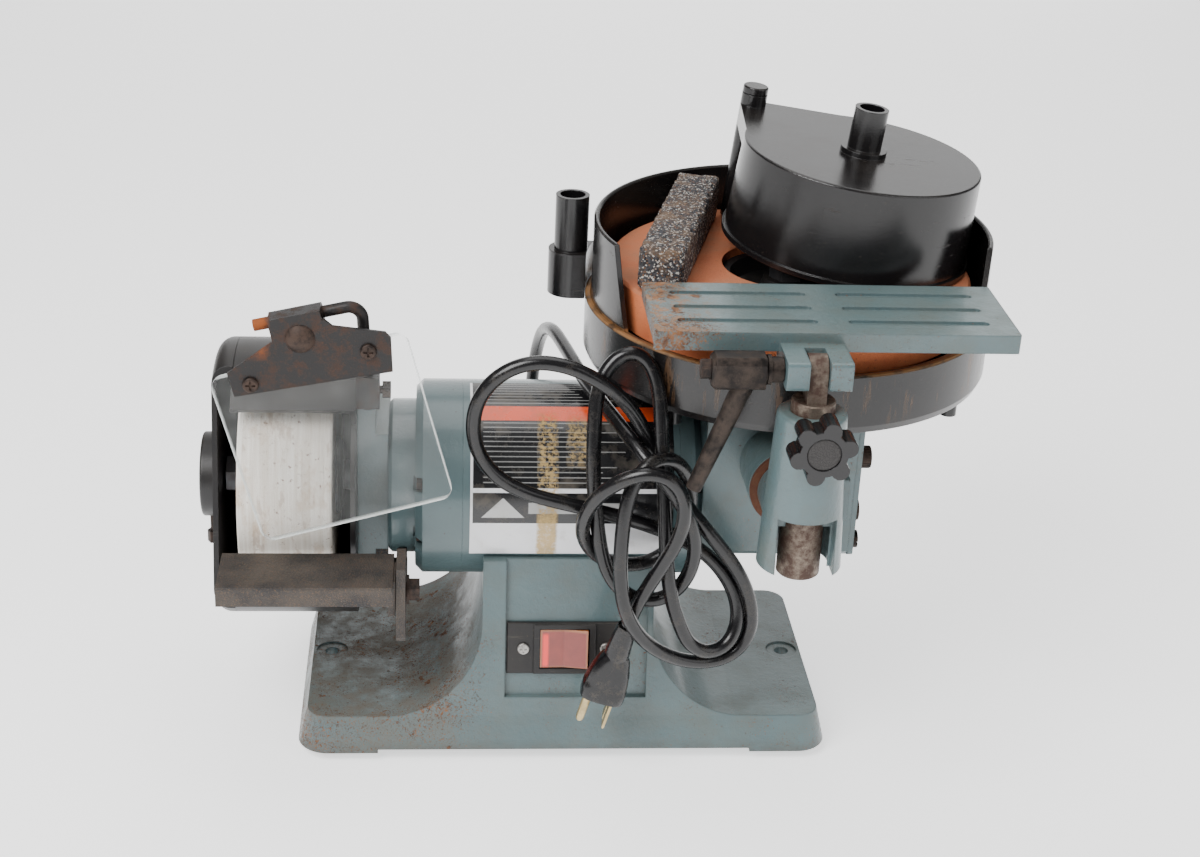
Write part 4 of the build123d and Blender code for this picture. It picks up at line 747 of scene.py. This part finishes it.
def make_cord(settings, finishes):
    """The mains cord as one curve, with its strain relief and its plug."""
    sheath, moulded, brass = (finishes[name][0] for name in ("cord", "plug", "brass"))
    curve = bpy.data.curves.new("cord", "CURVE")
    curve.dimensions = "3D"
    curve.bevel_depth = settings.diameter / 2
    curve.bevel_resolution = 5
    curve.resolution_u = 8
    curve.use_fill_caps = True
    spline = curve.splines.new("NURBS")
    spline.points.add(len(CORD_POINTS) - 1)
    for point, where in zip(spline.points, CORD_POINTS):
        point.co = (*place(*where), 1.0)
    spline.order_u = 3
    spline.use_endpoint_u = True
    curve.materials.append(sheath)
    cord = bpy.data.objects.new("mains_cord", curve)
    bpy.context.scene.collection.objects.link(cord)
    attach(cord, "frame")
    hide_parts("cord_lead", "cord_hank")

    along = PLUG_TIP - PLUG_TOP
    seat = frame_at(PLUG_TOP, along, PLUG_ACROSS)
    plug = finished("plug_body", moved_into(lofted(PLUG_RINGS), seat), moulded, "frame", "plug_pvc")
    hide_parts("mains_plug")
    pins = [moved_into(lofted(PIN_RINGS, 24), Matrix.Translation((-7 * MM, 0, 0)))]
    for side in (-4.2, 4.2):
        pins.append(moved_into(lofted(BLADE_RINGS, 32), Matrix.Translation((6 * MM, side * MM, 0))))
    prongs = finished("plug_prongs", moved_into(merged(pins), seat), brass, "frame", "plug_pvc")
    ribs = row_of_rings("plug_ribs", 6, 2.6, (5.2, 6.2), 5.0, moulded)
    ribs.data.transform(seat @ Matrix.Translation((0, 0, 2 * MM)))
    settled(ribs, "frame", "plug_pvc")

    sleeve_seat = frame_at(RELIEF_SEAT, (0, 1, 0), (1, 0, 0))
    relief = finished("strain_relief", moved_into(lofted(RELIEF_RINGS), sleeve_seat), moulded,
                      "frame", "plug_pvc")
    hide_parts("cord_gland")
    nut_bars = ring_of_bars("relief_flutes", 18, 9.3, (0.8, 1.1, 4.4), moulded)
    nut_bars.data.transform(sleeve_seat @ Matrix.Translation((0, 0, 2.7 * MM)))
    settled(nut_bars, "frame", "plug_pvc")
    rings = row_of_rings("relief_ribs", 6, 3.4, (7.3, 5.5), 5.5, moulded)
    rings.data.transform(sleeve_seat @ Matrix.Translation((0, 0, 8.5 * MM)))
    settled(rings, "frame", "plug_pvc")
    place(*CORD_EXIT)


STONE_HALF = Vector((12.6, 70.8, 12.6))
STONE_TURN = 15


def make_stone(settings, finishes):
    """The dressing stone, roughened and chipped along its edges."""
    low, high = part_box("dressing_stone")
    middle = (low + high) / 2
    half = STONE_HALF * MM
    shape = bmesh.new()
    bmesh.ops.create_cube(shape, size=2.0)
    bmesh.ops.scale(shape, vec=half, verts=shape.verts)
    mesh = bpy.data.meshes.new("stone")
    shape.to_mesh(mesh)
    shape.free()
    stone = bpy.data.objects.new("dressing_stone_rough", mesh)
    bpy.context.scene.collection.objects.link(stone)
    remesh = stone.modifiers.new("grain", "REMESH")
    remesh.mode = "VOXEL"
    remesh.voxel_size = settings.grain
    seen = stone.evaluated_get(bpy.context.evaluated_depsgraph_get())
    mesh = bpy.data.meshes.new_from_object(seen)
    stone.modifiers.clear()
    stone.data = mesh
    for vertex in mesh.vertices:
        at = vertex.co.copy()
        gaps = sorted(h - abs(c) for c, h in zip(at, half))
        edge = max(0.0, 1 - (gaps[0] + gaps[1]) / (2.6 * MM))
        chip = max(0.0, noise.noise(at / (6 * MM)) + 0.12) * settings.chips * edge
        pit = abs(noise.noise(at / (1.7 * MM))) * 0.4 * MM
        wave = abs(noise.noise(at / (9 * MM))) * 0.3 * MM
        inward = Vector((-math.copysign(1, c) if h - abs(c) < 3 * MM else 0.0
                         for c, h in zip(at, half)))
        vertex.co = at + inward * (chip + (pit + wave) + edge * 0.35 * MM)
    mesh.transform(Matrix.Translation(middle) @ Matrix.Rotation(math.radians(-STONE_TURN), 4, "Z"))
    mesh.materials.clear()
    mesh.materials.append(finishes["stone"][0])
    settled(stone, BODY_OF["dressing_stone"], "stone_grain", 180)
    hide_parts("dressing_stone")


CAP_SCREW_X = 163.4
CAP_SCREWS = ((-38, 175), (-22, 134))


def make_details(settings, finishes):
    """The star knob's crackle disc, and the flutes round the side cover's screw heads."""
    low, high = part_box("star_knob")
    disc = lofted([(-0.7, 8.3, 8.3, 2), (0.0, 8.3, 8.3, 2), (0.35, 7.9, 7.9, 2), (0.4, 7.0, 7.0, 2)])
    at = ((low + high) / 2 - MIDDLE) / MM
    centre = (at.x, (low.y - MIDDLE.y) / MM + 0.6, at.z + AXIS)
    seat = frame_at(centre, (0, -1, 0), (1, 0, 0))
    finished("knob_disc", moved_into(disc, seat), finishes["disc"][0], BODY_OF["star_knob"],
             "crackle")
    for number, (y, z) in enumerate(CAP_SCREWS, 1):
        flutes = ring_of_bars(f"screw_flutes_{number}", settings.flutes, 6.15, (0.5, 0.55, 6.0),
                              finishes["bolts"][0])
        flutes.data.transform(frame_at((CAP_SCREW_X, y, z), (1, 0, 0), (0, 1, 0)))
        settled(flutes, BODY_OF["housing_screws"], "black_oxide")


FLOOR_REACH = 14.0                          # metres from the middle to the floor's edge
LIGHT_AIM = (30, 0, 150)
LIGHTS = {                                  # place in millimetres, side of the square in metres
    "key": ((-900, -1000, 1500), 1.1),
    "fill": ((1300, -900, 900), 1.4),
    "top": ((100, 300, 1700), 1.2),
    "back": ((150, 1900, 850), 2.0),
}
CAMERA_PLACE = (-76.67, -1020.59, 644.34)
CAMERA_LENS = 59.28                         # millimetres, on a sensor 36 mm wide
CAMERA_DOWN, CAMERA_YAW, CAMERA_ROLL = 24.678, 5.3224, 2.7314


def make_stage(settings):
    """A plain pale floor, a soft studio light and the camera."""
    scene = bpy.context.scene
    surface = Surface("floor")
    tone = surface.noise(900, 2.0)
    value = settings.floor_tone
    worn = value * 0.985
    pale = surface.mix(tone, (value, value, value, 1), (worn, worn, worn, 1))
    material = surface.finish(pale, 0.9, surface.bump(surface.noise(40), 0.02), glow=(1, 1, 1, 1),
                              Emission_Strength=settings.floor_glow)
    shape = bmesh.new()
    bmesh.ops.create_grid(shape, x_segments=2, y_segments=2, size=FLOOR_REACH)
    mesh = bpy.data.meshes.new("floor")
    shape.to_mesh(mesh)
    shape.free()
    mesh.materials.append(material)
    floor = bpy.data.objects.new("floor", mesh)
    scene.collection.objects.link(floor)
    aim = place(*LIGHT_AIM)
    for name, (where, size) in LIGHTS.items():
        lamp = bpy.data.lights.new(name, "AREA")
        lamp.shape = "SQUARE"
        lamp.size = size
        lamp.energy = getattr(settings, name + "_power")
        light = bpy.data.objects.new(name, lamp)
        light.location = place(*where)
        light.rotation_mode = "QUATERNION"
        light.rotation_quaternion = (aim - light.location).to_track_quat("-Z", "Y")
        scene.collection.objects.link(light)
    world = bpy.data.worlds.new("studio")
    world.use_nodes = True
    sky = world.node_tree.nodes["Background"].inputs
    sky["Color"].default_value = (1, 1, 1, 1)
    sky["Strength"].default_value = settings.world_strength
    scene.world = world

    lens = bpy.data.cameras.new("camera")
    lens.sensor_width = 36.0
    lens.lens = CAMERA_LENS
    lens.clip_end = 60.0
    camera = bpy.data.objects.new("camera", lens)
    down, yaw, roll = (math.radians(turn) for turn in (CAMERA_DOWN, CAMERA_YAW, CAMERA_ROLL))
    ahead = Vector((math.sin(yaw) * math.cos(down), math.cos(yaw) * math.cos(down), -math.sin(down)))
    right = ahead.cross(Vector((0, 0, 1))).normalized()
    up = right.cross(ahead)
    side = right * math.cos(roll) + up * math.sin(roll)
    top = up * math.cos(roll) - right * math.sin(roll)
    camera.matrix_world = (Matrix.Translation(place(*CAMERA_PLACE))
                           @ Matrix((side, top, -ahead)).transposed().to_4x4())
    scene.collection.objects.link(camera)
    scene.camera = camera


# ---- the add-on ------------------------------------------------------------------------------
def colour_setting(name, text, red, green, blue):
    return bpy.props.FloatVectorProperty(name=name, description=text, subtype="COLOR", size=3,
                                         min=0.0, max=1.0, default=ink(red, green, blue)[:3])


def number_setting(name, text, value, low, high, unit="NONE"):
    return bpy.props.FloatProperty(name=name, description=text, default=value, min=low, max=high,
                                   unit=unit, precision=4)


class SharpenerPaint(bpy.types.PropertyGroup):
    """The grey-green paint of the castings."""
    paint_colour: colour_setting("Paint", "Colour of the castings' paint", 84, 104, 107)
    rust_amount: number_setting("Rust", "How much rust speckles the castings", 1.0, 0.0, 2.0)


class SharpenerLabel(bpy.types.PropertyGroup):
    """The foil panel on the motor."""
    band_colour: colour_setting("Band", "Colour of the band across the panel", 226, 76, 26)


class SharpenerSwitch(bpy.types.PropertyGroup):
    """The rocker."""
    # the colour of the painted glow on the rocker's bright strip, not a lit lamp
    painted_glow_colour: colour_setting("Lamp", "Colour that shows in the rocker", 232, 40, 34)


class SharpenerCord(bpy.types.PropertyGroup):
    """The mains cord."""
    diameter: number_setting("Diameter", "The sheath's diameter", 0.008, 0.004, 0.012, "LENGTH")
    length: number_setting("Length", "The free cord's length", 1.80, 0.5, 3.0, "LENGTH")


class SharpenerStone(bpy.types.PropertyGroup):
    """The dressing stone."""
    grain: number_setting("Grain", "Spacing of the stone's surface points", 0.0011, 0.0005, 0.003,
                          "LENGTH")
    chips: number_setting("Chips", "Depth of the chips along the edges", 0.0035, 0.0, 0.006,
                          "LENGTH")


class SharpenerDetails(bpy.types.PropertyGroup):
    """Small turned and moulded details."""
    flutes: bpy.props.IntProperty(name="Flutes", description="Flutes round each screw head",
                                  default=24, min=8, max=48)


class SharpenerStage(bpy.types.PropertyGroup):
    """Floor and lights."""
    floor_tone: number_setting("Floor", "How pale the floor is", 0.90, 0.0, 1.0)
    floor_glow: number_setting("Glow", "Light that the floor gives off", 1.15, 0.0, 2.0)
    key_power: number_setting("Key", "Power of the light at the upper left", 44.0, 0.0, 400.0,
                              "POWER")
    fill_power: number_setting("Fill", "Power of the light at the right", 10.0, 0.0, 400.0, "POWER")
    top_power: number_setting("Top", "Power of the light above", 12.0, 0.0, 400.0, "POWER")
    back_power: number_setting("Back", "Power of the light behind", 16.0, 0.0, 400.0, "POWER")
    world_strength: number_setting("World", "Strength of the light all round", 0.22, 0.0, 4.0)


FINISHES = {}


class SHARPENER_OT_finishes(bpy.types.Operator):
    """Make every finish and give it to the CAD pieces"""
    bl_idname = "sharpener.finishes"
    bl_label = "Finishes"

    def execute(self, context):
        FINISHES.update(make_finishes(context.scene))
        dress_cad(FINISHES)
        return {"FINISHED"}


class SHARPENER_OT_cord(bpy.types.Operator):
    """Make the mains cord, its strain relief and its plug"""
    bl_idname = "sharpener.cord"
    bl_label = "Cord and plug"

    def execute(self, context):
        make_cord(context.scene.sharpener_cord, FINISHES)
        return {"FINISHED"}


class SHARPENER_OT_stone(bpy.types.Operator):
    """Make the rough dressing stone"""
    bl_idname = "sharpener.stone"
    bl_label = "Dressing stone"

    def execute(self, context):
        make_stone(context.scene.sharpener_stone, FINISHES)
        return {"FINISHED"}


class SHARPENER_OT_details(bpy.types.Operator):
    """Make the knob's disc and the screws' flutes"""
    bl_idname = "sharpener.details"
    bl_label = "Knob disc and screw flutes"

    def execute(self, context):
        make_details(context.scene.sharpener_details, FINISHES)
        return {"FINISHED"}


class SHARPENER_OT_stage(bpy.types.Operator):
    """Make the floor, the lights and the camera"""
    bl_idname = "sharpener.stage"
    bl_label = "Stage"

    def execute(self, context):
        make_stage(context.scene.sharpener_stage)
        return {"FINISHED"}


OPERATORS = (SHARPENER_OT_finishes, SHARPENER_OT_cord, SHARPENER_OT_stone, SHARPENER_OT_details,
             SHARPENER_OT_stage)
GROUPS = {"paint": SharpenerPaint, "label": SharpenerLabel, "switch": SharpenerSwitch,
          "cord": SharpenerCord, "stone": SharpenerStone, "details": SharpenerDetails,
          "stage": SharpenerStage}


class SHARPENER_PT_pieces(bpy.types.Panel):
    """The sharpener's pieces and their settings"""
    bl_idname = "SHARPENER_PT_pieces"
    bl_label = "Sharpener"
    bl_space_type = "VIEW_3D"
    bl_region_type = "UI"
    bl_category = "Sharpener"

    def draw(self, context):
        for operator in OPERATORS:
            self.layout.operator(operator.bl_idname)
        for name in GROUPS:
            settings = getattr(context.scene, "sharpener_" + name)
            box = self.layout.box()
            box.label(text=name.capitalize())
            for label in settings.bl_rna.properties.keys():
                if label not in ("rna_type", "name"):
                    box.prop(settings, label)


def register():
    for group in GROUPS.values():
        bpy.utils.register_class(group)
    for name, group in GROUPS.items():
        setattr(bpy.types.Scene, "sharpener_" + name, bpy.props.PointerProperty(type=group))
    for kind in (*OPERATORS, SHARPENER_PT_pieces):
        bpy.utils.register_class(kind)


def unregister():
    for kind in (SHARPENER_PT_pieces, *reversed(OPERATORS)):
        bpy.utils.unregister_class(kind)
    for name, group in GROUPS.items():
        delattr(bpy.types.Scene, "sharpener_" + name)
        bpy.utils.unregister_class(group)


def main():
    register()
    bpy.ops.sharpener.finishes()
    bpy.ops.sharpener.cord()
    bpy.ops.sharpener.stone()
    bpy.ops.sharpener.details()
    bpy.ops.sharpener.stage()


if __name__ == "__main__":
    main()
